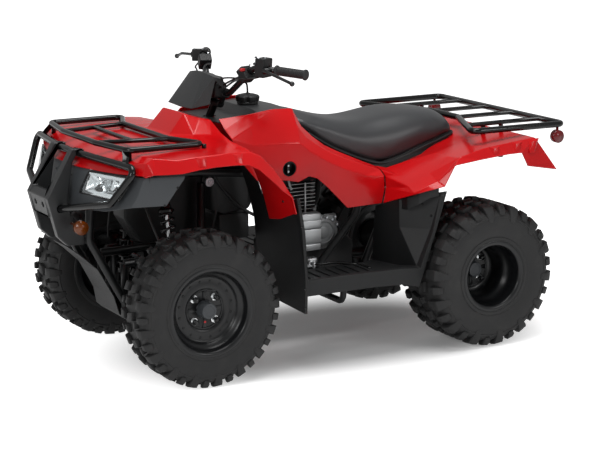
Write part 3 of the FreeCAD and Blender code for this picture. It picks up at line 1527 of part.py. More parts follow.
def tail_light():
    """A wide lamp across the ends of the two seat rails."""
    share_x, share_z = frame_tail_shares[-1]
    back_x = rear_axle_x + share_x * wheelbase - seat_gap
    middle_z = lower_rail_z + share_z * frame_height
    low = vec(back_x - tail_lamp_depth, -tail_lamp_half, middle_z - tail_lamp_height / 2)
    return box(low, low + vec(tail_lamp_depth, tail_lamp_half * 2, tail_lamp_height))


def reflector(centre, stay_end):
    """A round reflector facing sideways on a short stay."""
    disc = cylinder(centre - LEFT * reflector_depth, LEFT, reflector_radius, reflector_depth)
    stay = between(centre - LEFT * (reflector_depth / 2), stay_end, reflector_stay_radius)
    left = fuse([disc, stay])
    return Part.makeCompound([left, other_side(left)])


def front_reflectors():
    centre = front(*front_reflector_share)
    return reflector(centre, vec(centre.x, tower_half_width + seat_gap, centre.z))


def rear_reflectors():
    centre = rear(*rear_reflector_share)
    rail_low = rear_rack_z - rear_rack_tube / 2 - seat_gap
    return reflector(centre, vec(centre.x, centre.y - reflector_depth / 2, rail_low))


def floor_stay(floor):
    """A tube from the frame's lower rail out under the footwell's floor, with the strut that rises from it."""
    start = vec(stay_x, frame_half_width + frame_tube / 2 + seat_gap, lower_rail_z)
    corner = vec(stay_x, stay_y, lower_rail_z)
    bent = tube([start, corner, corner + UP * body_height / 2], stay_tube, stay_bend, frame_tube_sides)
    strut = [vec(stay_x, strut_y, lower_rail_z)] + [middle(*share) for share in strut_shares]
    rising = tube(strut, strut_tube, frame_bend, frame_tube_sides)
    return fuse([trimmed(bent, floor, UP * -seat_gap, start), rising])


def skid_plate():
    """The plate under the frame, with its nose curving up to the tower."""
    return skin(skid_shares, front)


def shock_ends():
    """The centres of a front shock's lower and upper eyes."""
    foot = vec(front_axle_x + shock_x, shock_foot_y, shock_foot_z + shock_eye_radius)
    head = vec(front_axle_x + shock_x, shock_head_y, shock_head_z)
    return foot, head


def eyed_shock(foot, head, radius, across):
    """A shock between two eyes whose bolts run along the given direction."""
    shapes = [shock(foot, head, radius)]
    for centre in (foot, head):
        shapes.append(cylinder(centre - across * (shock_eye_length / 2), across, shock_eye_radius,
                               shock_eye_length))
    return fuse(shapes)


def front_shock():
    foot, head = shock_ends()
    return eyed_shock(foot, head, shock_coil_radius, FORWARD)


def rear_shock():
    foot = vec(rear_axle_x + shock_rear_x, 0,
               rear_tyre_radius + saddle_radius + seat_gap + shock_eye_radius)
    share_x, share_z = frame_cross_shares[-1]
    rail_z = lower_rail_z + share_z * frame_height
    head = vec(front_axle_x + share_x * wheelbase, 0,
               rail_z - frame_tube / 2 - seat_gap - shock_eye_radius)
    return eyed_shock(foot, head, rear_shock_radius, LEFT)


def lever_place():
    """How far in from the bar's end the lever's bracket is, beside the grip."""
    return grip_length + lever_bracket_radius + lever_clear


def levers():
    left = lever(lever_place())
    return Part.makeCompound([left, other_side(left)])


def build():
    """Every piece by its node's name."""
    parts = {}
    fender = front_fender()
    tank = tank_cover()
    rear_deck = rear_fender()
    side_panel = side_cover()
    side = frame_side(fender, tank, rear_deck, side_panel)
    parts["frame_left"] = side
    parts["frame_right"] = other_side(side)
    parts["frame_cross"] = frame_cross()
    parts["skid_plate"] = skid_plate()
    parts["engine_crankcase"] = crankcase()
    parts["engine_cylinder"] = engine_cylinder()
    parts["engine_left_cover"] = engine_left_cover()
    parts["exhaust"] = exhaust()
    parts["swingarm"] = swingarm()
    parts["tow_hitch"] = tow_hitch()
    parts["rear_shock"] = rear_shock()
    parts["front_fender"] = fender
    parts["front_fascia"] = front_fascia()
    tubes = bumper_tubes()
    parts["bumper_tubes"] = tubes
    parts["bumper_cover"] = bumper_cover(tubes)
    parts["front_rack"] = front_rack(fender)
    parts["rear_rack"] = rear_rack(rear_deck)
    parts["rear_fender"] = rear_deck
    parts["tank_cover"] = tank
    parts["fuel_cap"] = fuel_cap()
    parts["seat"] = seat()
    parts["tail_light"] = tail_light()
    parts["reflectors_front"] = front_reflectors()
    parts["reflectors_rear"] = rear_reflectors()
    parts["meter_cover"] = meter_cover()
    parts["steering_stem"] = steering_stem()
    parts["handlebar"] = handlebar()
    left_grip = grip()
    parts["grips"] = Part.makeCompound([left_grip, other_side(left_grip)])
    parts["controls_left"] = left_controls()
    parts["controls_right"] = right_controls()
    parts["levers"] = levers()
    front_tyre = tyre(front_tyre_radius, front_tyre_width, front_bead_radius, front_pitches,
                      front_centre_lug_share, front_shoulder_length_share)
    rear_tyre = tyre(rear_tyre_radius, rear_tyre_width, rear_bead_radius, rear_pitches,
                     rear_centre_lug_share, rear_shoulder_length_share)
    front_rim = steel_rim(front_tyre_radius, front_tyre_width, front_bead_radius, front_disc_offset)
    rear_rim = steel_rim(rear_tyre_radius, rear_tyre_width, rear_bead_radius, rear_disc_offset)
    hub = front_hub()
    floor = rear_guard()
    doubles = {"floor_stays": floor_stay(floor), "upper_arms": upper_arm(), "lower_arms": lower_arm(),
               "front_shocks": front_shock()}
    for name, shape in doubles.items():
        parts[name] = Part.makeCompound([shape, other_side(shape)])
    pairs = {
        "headlight": headlight(),
        "side_cover": side_panel,
        "front_guard": front_guard(),
        "rear_guard": floor,
        "knuckle": knuckle(),
        "front_tyre": moved(front_tyre, front_axle_x, front_track / 2, front_tyre_radius),
        "front_rim": moved(front_rim, front_axle_x, front_track / 2, front_tyre_radius),
        "front_hub": moved(hub, front_axle_x, front_track / 2, front_tyre_radius),
        "rear_tyre": moved(rear_tyre, rear_axle_x, rear_track / 2, rear_tyre_radius),
        "rear_rim": moved(rear_rim, rear_axle_x, rear_track / 2, rear_tyre_radius),
    }
    for name, shape in pairs.items():
        parts[name + "_left"] = shape
        parts[name + "_right"] = other_side(shape)
    parts["tie_rod_left"] = tie_rod(1)
    parts["tie_rod_right"] = tie_rod(-1)
    parts["rear_axle"] = axle_shaft()
    return parts


os.makedirs("parts", exist_ok=True)
for name, shape in build().items():
    shape.exportStep("parts/" + name + ".step")
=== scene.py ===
import json
import math
from collections import namedtuple

import bmesh
import bpy
from mathutils import Matrix, Vector
from mathutils.bvhtree import BVHTree

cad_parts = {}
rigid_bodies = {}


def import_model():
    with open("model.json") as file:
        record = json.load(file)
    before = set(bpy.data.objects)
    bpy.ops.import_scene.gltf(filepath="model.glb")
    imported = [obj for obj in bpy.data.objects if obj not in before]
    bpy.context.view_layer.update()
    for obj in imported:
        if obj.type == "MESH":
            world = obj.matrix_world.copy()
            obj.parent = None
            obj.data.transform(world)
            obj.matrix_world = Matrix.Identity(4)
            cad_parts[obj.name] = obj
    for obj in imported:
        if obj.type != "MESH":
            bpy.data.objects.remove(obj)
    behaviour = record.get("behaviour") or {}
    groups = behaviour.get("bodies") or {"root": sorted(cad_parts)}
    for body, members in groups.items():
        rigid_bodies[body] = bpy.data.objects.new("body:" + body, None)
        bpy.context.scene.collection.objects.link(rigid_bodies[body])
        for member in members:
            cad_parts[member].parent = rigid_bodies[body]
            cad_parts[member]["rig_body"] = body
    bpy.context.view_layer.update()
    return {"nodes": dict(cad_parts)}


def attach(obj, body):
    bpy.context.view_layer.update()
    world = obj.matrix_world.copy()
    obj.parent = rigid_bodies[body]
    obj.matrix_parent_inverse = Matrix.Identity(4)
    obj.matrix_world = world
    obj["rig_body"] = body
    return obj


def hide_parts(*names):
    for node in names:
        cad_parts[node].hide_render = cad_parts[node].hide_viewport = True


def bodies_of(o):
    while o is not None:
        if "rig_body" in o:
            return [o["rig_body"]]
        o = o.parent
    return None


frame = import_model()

MM = 0.001
CHASSIS = "chassis"
STEERING = "steering"
HANDS = (("left", 1), ("right", -1))

# The vehicle's own places, in metres, as the model's source has them
FRONT_AXLE_X = 0.5375
REAR_AXLE_X = -0.5925
PANEL_REACH = 0.5


def placer(start):
    """Turns shares of the body's reach, half width and height into a point, counted from start."""
    def place(x, y, z):
        return Vector((start + PANEL_REACH * x, PANEL_REACH * y, PANEL_REACH + PANEL_REACH * z))
    return place


front = placer(FRONT_AXLE_X)
middle = placer(0.0)
rear = placer(REAR_AXLE_X)


def mm(places):
    """Places in millimetres as points."""
    return [Vector(place) * MM for place in places]


def sided(places, sign):
    """Places of the left side, or the same ones on the right."""
    return [(x, sign * y, z) for x, y, z in places]


# Small helpers

def linear(colour):
    """An sRGB hex colour as linear red, green, blue and full alpha."""
    parts = [int(colour[i:i + 2], 16) / 255 for i in (1, 3, 5)]
    return [c / 12.92 if c <= 0.04045 else ((c + 0.055) / 1.055) ** 2.4 for c in parts] + [1.0]


def add(tree, kind, inputs=None, **settings):
    """Adds one node. An input given as a socket is linked, and any other value is set on it."""
    made = tree.nodes.new(kind)
    for name, value in settings.items():
        setattr(made, name, value)
    for key, value in (inputs or {}).items():
        if isinstance(value, bpy.types.NodeSocket):
            tree.links.new(value, made.inputs[key])
        else:
            made.inputs[key].default_value = value
    return made


def per_metre(size_mm):
    """The scale of a pattern on object coordinates whose grains are this many millimetres."""
    return 1 / (size_mm * MM)


def placed(name, data):
    """A new object of the scene with this data."""
    thing = bpy.data.objects.new(name, data)
    bpy.context.scene.collection.objects.link(thing)
    return thing


# Finishes

def finish(name, light, dark, rough, grain_mm, depth_mm, mottle_mm=180.0, rough_spread=0.05,
           metallic=0.0, dust="", **shader):
    """A finish with a fine surface grain, a slow change of shade, and dust in a few patches if asked."""
    made = bpy.data.materials.new(name)
    made.use_nodes = True
    tree = made.node_tree
    surface = tree.nodes["Principled BSDF"]
    place = add(tree, "ShaderNodeTexCoord").outputs["Object"]
    mottle = add(tree, "ShaderNodeTexNoise", {"Vector": place, "Scale": per_metre(mottle_mm), "Detail": 3.0})
    shade = add(tree, "ShaderNodeMix", {"Factor": mottle.outputs["Fac"], 6: linear(dark), 7: linear(light)},
                data_type="RGBA").outputs[2]
    grain = add(tree, "ShaderNodeTexNoise", {"Vector": place, "Scale": per_metre(grain_mm), "Detail": 2.0})
    if dust:
        patch = add(tree, "ShaderNodeMapRange", {"Value": mottle.outputs["Fac"], "From Min": 0.52,
                                                 "From Max": 0.72, "To Min": 0.0, "To Max": 0.35})
        shade = add(tree, "ShaderNodeMix", {"Factor": patch.outputs["Result"], 6: shade, 7: linear(dust)},
                    data_type="RGBA").outputs[2]
    gloss = add(tree, "ShaderNodeMapRange", {"Value": grain.outputs["Fac"],
                                             "To Min": rough - rough_spread, "To Max": rough + rough_spread})
    bump = add(tree, "ShaderNodeBump", {"Height": grain.outputs["Fac"], "Strength": 1.0,
                                        "Distance": depth_mm * MM})
    tree.links.new(shade, surface.inputs["Base Color"])
    tree.links.new(gloss.outputs["Result"], surface.inputs["Roughness"])
    tree.links.new(bump.outputs["Normal"], surface.inputs["Normal"])
    surface.inputs["Metallic"].default_value = metallic
    for key, value in shader.items():
        surface.inputs[key.replace("_", " ")].default_value = value
    return made


# Polypropylene moulded in a polished tool: deep red, glossy, with a faint ripple in its highlights.
red_polypropylene = finish("red_polypropylene_moulded", "#cb0d12", "#b8090e", 0.2, 14.0, 0.04,
                           rough_spread=0.03, IOR=1.36)
# The same plastic in dark grey from a spark-eroded tool: a fine leathery grain that scatters the light.
grey_polypropylene = finish("grey_polypropylene_grained", "#434649", "#393c3f", 0.5, 1.6, 0.3, IOR=1.45)
# Black polypropylene, matt, with a coarser grain on the floor boards and guards.
black_polypropylene = finish("black_polypropylene_grained", "#141516", "#0e0f10", 0.5, 1.8, 0.35, IOR=1.4)
# The tank's cover and the tower are finer grained, and their black is painted lighter than the boards' to
# stand for their sheen; the bumper's cover takes it too.
satin_black_with_painted_sheen = finish("black_polypropylene_satin_painted_sheen", "#272829", "#1f2021", 0.4, 1.2, 0.15, IOR=1.5)
# The guards' outer strips are moulded in a paler, smoother grey plastic; on the floor edge's flat top faces
# the same pale colour is a painted highlight.
pale_strip_and_painted_highlight_finish = finish("grey_strip_and_painted_highlight_polypropylene", "#7c7f82", "#6b6e71", 0.4, 1.4, 0.1, IOR=1.45)
# Powder coat on steel tube: black, glossy, with an orange-peel ripple.
black_powder_coat = finish("black_powder_coat_gloss", "#0b0b0c", "#070808", 0.16, 3.0, 0.05,
                           rough_spread=0.04, IOR=1.42)
# Frame paint: black, half gloss, thinner and flatter than the powder coat.
frame_paint = finish("black_frame_paint", "#0f1011", "#0b0c0d", 0.36, 2.5, 0.06, IOR=1.4)
# Satin black baked enamel on pressed steel wheels.
rim_enamel = finish("satin_black_enamel", "#141517", "#0e0f10", 0.32, 2.2, 0.05, IOR=1.42)
# Zinc-plated steel of small bolts: bright and a little blue, with fine turning marks.
zinc_steel = finish("zinc_plated_steel", "#b9bcc0", "#9a9da1", 0.28, 1.2, 0.04, metallic=1.0)
# Chromed steel of the wheel nuts and lamp bowls: almost a mirror, with a trace of haze.
chromed_steel = finish("chromed_steel", "#dcdedf", "#d0d2d3", 0.1, 8.0, 0.01, rough_spread=0.04, metallic=1.0)
# Vulcanised rubber: charcoal, matt, with a fine cloudy bloom and a little dried dust.
tyre_rubber = finish("vulcanised_rubber", "#222223", "#191919", 0.6, 1.4, 0.15, mottle_mm=60.0,
                     dust="#2f2e2c", IOR=1.42)
# Softer rubber of the handlebar grips, the piping and the hoses.
grip_rubber = finish("grip_rubber_moulded", "#161617", "#101011", 0.6, 1.2, 0.15, IOR=1.52)
# Die-cast aluminium, shot-blasted: pale grey, metallic but dull. The round cover is darker.
cast_aluminium = finish("die_cast_aluminium", "#c9cbcc", "#b4b6b8", 0.4, 1.3, 0.1, metallic=0.85)
dull_aluminium = finish("die_cast_aluminium_dull", "#8f9192", "#77797a", 0.45, 1.3, 0.14, metallic=0.7)
# Aluminium cut bright by a tool: the rims of the cooling fins and the small pipe above them.
machined_aluminium = finish("machined_aluminium_bright", "#f0f1f2", "#e2e4e5", 0.38, 1.0, 0.05, metallic=0.4)
# Engine block: cast iron and aluminium under heat-proof black paint.
engine_paint = finish("black_engine_paint", "#111112", "#0c0c0d", 0.45, 1.6, 0.15, IOR=1.4)
# Exhaust: black high-temperature paint over rolled steel.
exhaust_steel = finish("exhaust_steel_painted", "#2b2b2c", "#1f1f20", 0.4, 2.0, 0.08, metallic=0.4)
# Seat cover: calendered vinyl with a leather grain and a soft broad sheen.
seat_vinyl = finish("seat_vinyl_grained", "#37383a", "#2e2f31", 0.4, 2.2, 0.2, IOR=1.5)
# Coil springs: black powder coat on spring wire.
spring_coat = finish("spring_powder_coat", "#17181a", "#101012", 0.25, 3.0, 0.04, IOR=1.5)
# Handlebar tube: black enamel.
bar_enamel = finish("handlebar_enamel", "#141516", "#0e0f10", 0.28, 3.0, 0.04, IOR=1.5)
# Lens plastics. The clear one lets the bowl behind it show, with a faint haze from the mould.
clear_lens = finish("clear_polycarbonate", "#f6f9fa", "#f0f4f5", 0.04, 25.0, 0.02, rough_spread=0.02,
                    IOR=1.49, Transmission_Weight=1.0)
amber_lens = finish("amber_acrylic", "#7c3c0a", "#662f07", 0.2, 2.0, 0.15, IOR=1.49)
red_lens = finish("red_acrylic", "#7c0b10", "#5c070b", 0.16, 2.0, 0.15, IOR=1.49)
# Signal red paint and plastic of the stop switch and the painted mark on the hub.
signal_red = finish("signal_red_plastic", "#c4161a", "#b01216", 0.35, 2.0, 0.05, IOR=1.49)

SLOT_FINISH = {
    "red_plastic": red_polypropylene, "grey_plastic": grey_polypropylene,
    "black_plastic": black_polypropylene, "black_steel": black_powder_coat,
    "frame_steel": frame_paint, "rim_steel": rim_enamel, "hub_steel": zinc_steel,
    "tyre_rubber": tyre_rubber, "grip_rubber": grip_rubber, "engine_alloy": cast_aluminium,
    "engine_black": engine_paint, "exhaust_steel": exhaust_steel, "seat_vinyl": seat_vinyl,
    "spring_steel": spring_coat, "lamp_lens": clear_lens, "amber_lens": amber_lens,
    "red_lens": red_lens, "bar_steel": bar_enamel,
}


# Making pieces

def welded(node):
    """A node's mesh with the corners that its loose triangles share merged."""
    form = bmesh.new()
    form.from_mesh(frame["nodes"][node].data)
    bmesh.ops.remove_doubles(form, verts=form.verts, dist=0.01 * MM)
    return form


def plain(form):
    """A bmesh as a plain mesh."""
    mesh = bpy.data.meshes.new("form")
    form.to_mesh(mesh)
    form.free()
    return mesh


def as_mesh(form):
    """A bmesh as a plain mesh with its faces pointing outwards."""
    bmesh.ops.remove_doubles(form, verts=form.verts, dist=0.001 * MM)
    bmesh.ops.recalc_face_normals(form, faces=form.faces)
    return plain(form)


def merged(*meshes):
    """Several meshes in one."""
    whole = bmesh.new()
    for mesh in meshes:
        whole.from_mesh(mesh)
        bpy.data.meshes.remove(mesh)
    return plain(whole)


def both_sides(make):
    """The meshes that make(sign) gives for the left and the right, in one."""
    return merged(make(1), make(-1))


def smooth(mesh, angle=35.0):
    """Shades a mesh round where its faces meet at less than this angle, in degrees."""
    mesh.shade_smooth()
    mesh.set_sharp_from_angle(angle=math.radians(angle))
    return mesh


def put(mesh, place, mirrored=False):
    """Moves a mesh to its place, first turned to the right side's hand if asked."""
    if mirrored:
        mesh.transform(Matrix.Scale(-1, 4, (0, 1, 0)))
        mesh.flip_normals()
    mesh.transform(Matrix.Translation(place))
    return mesh


def piece(name, mesh, body, slot_name, nodes=(), finishes=()):
    """An object from a mesh, riding on a body, with the finish of a material slot or its own."""
    mesh.name = name
    mesh.materials.clear()
    for made in finishes or [SLOT_FINISH[slot_name]]:
        mesh.materials.append(made)
    thing = placed(name, mesh)
    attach(thing, body)
    if nodes:
        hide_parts(*nodes)
    return thing


def body_of(node):
    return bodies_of(frame["nodes"][node])[0]


def standing_for(name, mesh, node, finishes=()):
    """A piece in a node's place, on its body and in its slot."""
    slot_name = frame["nodes"][node].material_slots[0].material.name.split(".")[0]
    return piece(name, mesh, body_of(node), slot_name, [node], finishes)


def baked(thing):
    """What an object's modifiers make of it, as a plain mesh. The object itself is removed."""
    mesh = bpy.data.meshes.new_from_object(thing.evaluated_get(bpy.context.evaluated_depsgraph_get()))
    bpy.data.objects.remove(thing)
    return mesh


def modified(mesh, *steps):
    """The mesh after its modifiers, each given as a kind and its settings."""
    thing = placed("being_shaped", mesh)
    for kind, settings in steps:
        modifier = thing.modifiers.new(kind.lower(), kind)
        for name, value in settings.items():
            setattr(modifier, name, value)
    return baked(thing)


def edge_turn(edge):
    return edge.calc_face_angle(0.0) if len(edge.link_faces) == 2 else 0.0


PANEL_WALL_MM = 6.2
RIM_ROUND_MM = 1.0
FLAT_TURN = math.radians(1.0)


def dressed(name, node, round_mm, crease=14.0, wall_mm=0.0, finishes=(), mark=None):
    """A node's shape with its creases rounded. With a wall, the panel's cut rim is rounded less."""
    form = welded(node)
    bmesh.ops.dissolve_limit(form, angle_limit=FLAT_TURN, verts=form.verts, edges=form.edges)
    weight = form.edges.layers.float.new("bevel_weight_edge")
    thin = {face for face in form.faces if 2 * face.calc_area() < wall_mm * MM * face.calc_perimeter()}
    for edge in form.edges:
        beside = sum(face in thin for face in edge.link_faces)
        if edge_turn(edge) > math.radians(crease) and beside < 2:
            edge[weight] = RIM_ROUND_MM / round_mm if beside else 1.0
    if mark:
        for face in form.faces:
            face.material_index = mark(face)
    mesh = plain(form)
    mesh.shade_smooth()
    thing = standing_for(name, mesh, node, finishes)
    rounding = thing.modifiers.new("rounding", "BEVEL")
    rounding.width = round_mm * MM
    rounding.segments = 3
    rounding.limit_method = "WEIGHT"
    rounding.use_clamp_overlap = False
    thing.modifiers.new("even_shading", "WEIGHTED_NORMAL").weight = 80


def smoothed(name, node, finishes=()):
    """A node's shape with its round tubes and turned parts shaded as round."""
    standing_for(name, smooth(plain(welded(node)), 40.0), node, finishes)


# Patterns that repeat

def pattern_tree(name, inputs):
    """A node tree with these inputs and one output, and the sockets that its inputs come in by."""
    tree = bpy.data.node_groups.new(name, "GeometryNodeTree")
    for label, kind in inputs.items():
        tree.interface.new_socket(name=label, in_out="INPUT", socket_type="NodeSocket" + kind)
    tree.interface.new_socket(name="Copies", in_out="OUTPUT", socket_type="NodeSocketGeometry")
    return tree, add(tree, "NodeGroupInput").outputs


def end_with_copies(tree, points, shape, rotation, coat):
    """Ends a tree with the shape on each point, as real geometry in its finish."""
    copies = add(tree, "GeometryNodeInstanceOnPoints", {"Points": points, "Instance": shape,
                                                        "Rotation": rotation})
    solid = add(tree, "GeometryNodeRealizeInstances", {0: copies.outputs[0]})
    coated = add(tree, "GeometryNodeSetMaterial", {"Geometry": solid.outputs[0], "Material": coat})
    add(tree, "NodeGroupOutput", {0: coated.outputs[0]})


def ring_of_copies():
    """Copies of the mesh turned round the Y axis, in even steps."""
    tree, given = pattern_tree("copies_round_an_axle", {"Shape": "Geometry", "Count": "Int",
                                                        "Finish": "Material"})
    places = add(tree, "GeometryNodePoints", {"Count": given["Count"]})
    step = add(tree, "ShaderNodeMath", {0: 2 * math.pi, 1: given["Count"]}, operation="DIVIDE")
    index = add(tree, "GeometryNodeInputIndex").outputs[0]
    turn = add(tree, "ShaderNodeMath", {0: index, 1: step.outputs[0]}, operation="MULTIPLY")
    turned = add(tree, "ShaderNodeCombineXYZ", {"Y": turn.outputs[0]})
    end_with_copies(tree, places.outputs[0], given["Shape"], turned.outputs[0], given["Finish"])
    return tree


def heads_on_places():
    """A low round head, its top edge narrower, on each place, facing along its stored direction."""
    tree, given = pattern_tree("heads_on_places", {"Places": "Geometry", "Radius": "Float", "Height": "Float",
                                                   "Sides": "Int", "Finish": "Material"})
    narrow = add(tree, "ShaderNodeMath", {0: given["Radius"], 1: 0.78}, operation="MULTIPLY")
    head = add(tree, "GeometryNodeMeshCone", {"Vertices": given["Sides"], "Side Segments": 1,
                                              "Radius Top": narrow.outputs[0],
                                              "Radius Bottom": given["Radius"], "Depth": given["Height"]})
    facing = add(tree, "GeometryNodeInputNamedAttribute", {"Name": "facing"}, data_type="FLOAT_VECTOR")
    turned = add(tree, "FunctionNodeAlignRotationToVector", {"Vector": facing.outputs[0]}, axis="Z")
    end_with_copies(tree, given["Places"], head.outputs[0], turned.outputs[0], given["Finish"])
    return tree


def grown(mesh, tree, **inputs):
    """The plain mesh that a node tree makes from a mesh and its named inputs."""
    thing = placed("growing", mesh)
    nodes = thing.modifiers.new("growth", "NODES")
    nodes.node_group = tree
    for item in tree.interface.items_tree:
        if item.item_type == "SOCKET" and item.in_out == "INPUT" and item.name in inputs:
            nodes[item.identifier] = inputs[item.name]
    bpy.context.view_layer.update()
    return baked(thing)


RING = ring_of_copies()
HEADS = heads_on_places()


def heads(name, places, radius_mm, height_mm, body, slot_name, coat, sides=12):
    """A row of screw or rivet heads from (place, direction) pairs."""
    mesh = bpy.data.meshes.new(name)
    mesh.from_pydata([tuple(place) for place, facing in places], [], [])
    stored = mesh.attributes.new("facing", "FLOAT_VECTOR", "POINT")
    for item, (place, facing) in zip(stored.data, places):
        item.vector = Vector(facing).normalized()
    made = grown(mesh, HEADS, Radius=radius_mm * MM, Height=height_mm * MM, Sides=sides, Finish=coat)
    return piece(name, smooth(made, 30.0), body, slot_name, finishes=[coat])


# Forms

def polar(across, radius, angle):
    """A point beside the Y axis, its angle counted from straight down."""
    return Vector((radius * math.sin(angle), across, -radius * math.cos(angle)))


AXIS_MM = 0.0005


def turned(outline, steps=32, closed=False):
    """A mesh turned about the Y axis from (across, radius) in millimetres. A closed outline makes a ring."""
    form = bmesh.new()
    rings = [[form.verts.new(polar(across * MM, max(radius, AXIS_MM) * MM, 2 * math.pi * step / steps))
              for across, radius in outline] for step in range(steps)]
    for first, second in zip(rings, rings[1:] + rings[:1]):
        for index in range(len(outline) - (0 if closed else 1)):
            after = (index + 1) % len(outline)
            form.faces.new((first[index], first[after], second[after], second[index]))
    return as_mesh(form)


def turned_between(start, end, outline, steps=32):
    """A turned solid about the line between two points, from (along, out) in millimetres."""
    mesh = turned(outline, steps)
    way = (Vector(end) - Vector(start)).normalized()
    mesh.transform(Vector((0, 1, 0)).rotation_difference(way).to_matrix().to_4x4())
    return put(mesh, start)


def loft(sections):
    """Closed skin over sections of equally many points, capped at both ends."""
    form = bmesh.new()
    rings = [[form.verts.new(point) for point in section] for section in sections]
    for first, second in zip(rings, rings[1:]):
        for index in range(len(first)):
            after = (index + 1) % len(first)
            form.faces.new((first[index], first[after], second[after], second[index]))
    form.faces.new(list(reversed(rings[0])))
    form.faces.new(rings[-1])
    return form


def rounded(form, width_mm, angle=30.0, segments=2):
    """A bmesh as a plain mesh, once its edges that turn more than this angle are rounded."""
    bmesh.ops.recalc_face_normals(form, faces=form.faces)
    sharp = [edge for edge in form.edges if edge_turn(edge) > math.radians(angle)]
    bmesh.ops.bevel(form, geom=sharp, offset=width_mm * MM, segments=segments, profile=0.5,
                    affect="EDGES", clamp_overlap=True)
    return as_mesh(form)


def block(low, high, round_mm, segments=3):
    """A box from corner to corner, in millimetres, with rounded edges."""
    (x0, y0, z0), (x1, y1, z1) = low, high
    ends = [mm([(x, y0, z0), (x, y1, z0), (x, y1, z1), (x, y0, z1)]) for x in (x0, x1)]
    return rounded(loft(ends), round_mm, 30.0, segments)


def tube(name, points, radius_mm, order=3, sides=3, closed=False, steps=6):
    """A round tube along a smooth line led by its points, as a curve object."""
    curve = bpy.data.curves.new(name, "CURVE")
    curve.dimensions = "3D"
    curve.bevel_depth = radius_mm * MM
    curve.bevel_resolution = sides
    curve.resolution_u = steps
    curve.use_fill_caps = not closed
    line = curve.splines.new("NURBS")
    line.points.add(len(points) - 1)
    for point, place in zip(line.points, points):
        point.co = (*place, 1.0)
    line.order_u = order
    line.use_endpoint_u = not closed
    line.use_cyclic_u = closed
    return placed(name, curve)


def rod(points, radius_mm, order=3, sides=3, closed=False):
    """The same tube as a plain mesh."""
    return baked(tube("rod", points, radius_mm, order, sides, closed))


# Tyres

# Half of a tyre's outline from the middle of the tread to the bead, as shares of its width and of its height.
# The thin rib under the shoulder and the thick one at the rim are on the real sidewall too.
TYRE_OUTLINE = [(0.0, 1.0), (0.20, 0.998), (0.31, 0.985), (0.40, 0.945), (0.455, 0.885), (0.476, 0.82),
                (0.481, 0.80), (0.492, 0.785), (0.492, 0.765), (0.483, 0.75), (0.489, 0.68), (0.493, 0.58),
                (0.488, 0.46), (0.476, 0.35), (0.462, 0.26), (0.459, 0.235), (0.468, 0.22), (0.466, 0.15),
                (0.452, 0.125), (0.438, 0.06), (0.42, 0.0)]
# Stations of a shoulder block: its tip's and its root's place across and up, and half its length at each,
# as shares of the tyre's width, of the height from bead to tip, and of a pitch
LONG_LUG = [(0.24, 1.0, 0.24, 0.84, 0.125, 0.15), (0.34, 1.0, 0.33, 0.84, 0.15, 0.175),
            (0.43, 0.965, 0.41, 0.80, 0.165, 0.19), (0.475, 0.86, 0.44, 0.76, 0.155, 0.18),
            (0.499, 0.70, 0.47, 0.68, 0.12, 0.14), (0.496, 0.60, 0.47, 0.60, 0.09, 0.10)]
SHORT_LUG = [(0.31, 0.995, 0.31, 0.84, 0.09, 0.12), (0.41, 0.975, 0.39, 0.80, 0.115, 0.14),
             (0.468, 0.88, 0.44, 0.78, 0.12, 0.14), (0.49, 0.77, 0.46, 0.74, 0.09, 0.11)]
# Middle blocks: from and to across, the place in the pitch, half the length and the slant, in the same shares
FRONT_BLOCKS = [(-0.11, 0.11, 0.25, 0.15, 0.05), (-0.23, -0.13, -0.22, 0.12, -0.03),
                (0.13, 0.23, 0.02, 0.12, 0.03)]
REAR_BLOCKS = [(0.03, 0.20, 0.25, 0.16, 0.06), (-0.20, -0.03, -0.25, 0.16, -0.06),
               (-0.13, -0.02, 0.28, 0.10, -0.04), (0.02, 0.13, -0.20, 0.10, 0.04)]
TREAD_MM = 14.0
BLOCK_ROUND_MM = 1.6
FINE_STEPS = 96

# A wheel in millimetres: its middle out from the vehicle's, the tyre's radius and width, the bead's radius,
# the tread's pitches, the disc's face across from the wheel's middle and how far the hub's cap stands out
Wheel = namedtuple("Wheel", "out radius width bead pitches face cap")
FRONT_WHEEL = Wheel(395.0, 266.0, 176.0, 140.0, 17, 21.7, 44.0)
REAR_WHEEL = Wheel(392.0, 263.0, 244.0, 114.0, 14, -42.3, 36.0)


def shoulder_block(stations, hand, at, wheel):
    """A block over its stations from the tread outwards, with sloping walls and rounded edges."""
    arc = 2 * math.pi / wheel.pitches
    height = wheel.radius - wheel.bead
    sections = []
    for tip_across, tip_up, root_across, root_up, tip_half, root_half in stations:
        corners = [(root_across, root_up, -root_half), (tip_across, tip_up, -tip_half),
                   (tip_across, tip_up, tip_half), (root_across, root_up, root_half)]
        sections.append([polar(hand * wheel.width * across * MM, (wheel.bead + height * up) * MM,
                               arc * (at + along)) for across, up, along in corners])
    return rounded(loft(sections), BLOCK_ROUND_MM, 25.0)


def middle_block(low, high, at, half, slant, wheel):
    """A tread block between two places across, its sides sloping in to its top."""
    arc = 2 * math.pi / wheel.pitches
    low, high = low * wheel.width, high * wheel.width
    sections = []
    for reach, spread, inset in ((wheel.radius - 20.0, 1.18, 0.0), (wheel.radius, 1.0, 2.0)):
        corners = [(low + inset, -half * spread - slant), (high - inset, -half * spread + slant),
                   (high - inset, half * spread + slant), (low + inset, half * spread - slant)]
        sections.append([polar(across * MM, reach * MM, arc * (at + along)) for across, along in corners])
    return rounded(loft(sections), BLOCK_ROUND_MM, 25.0)


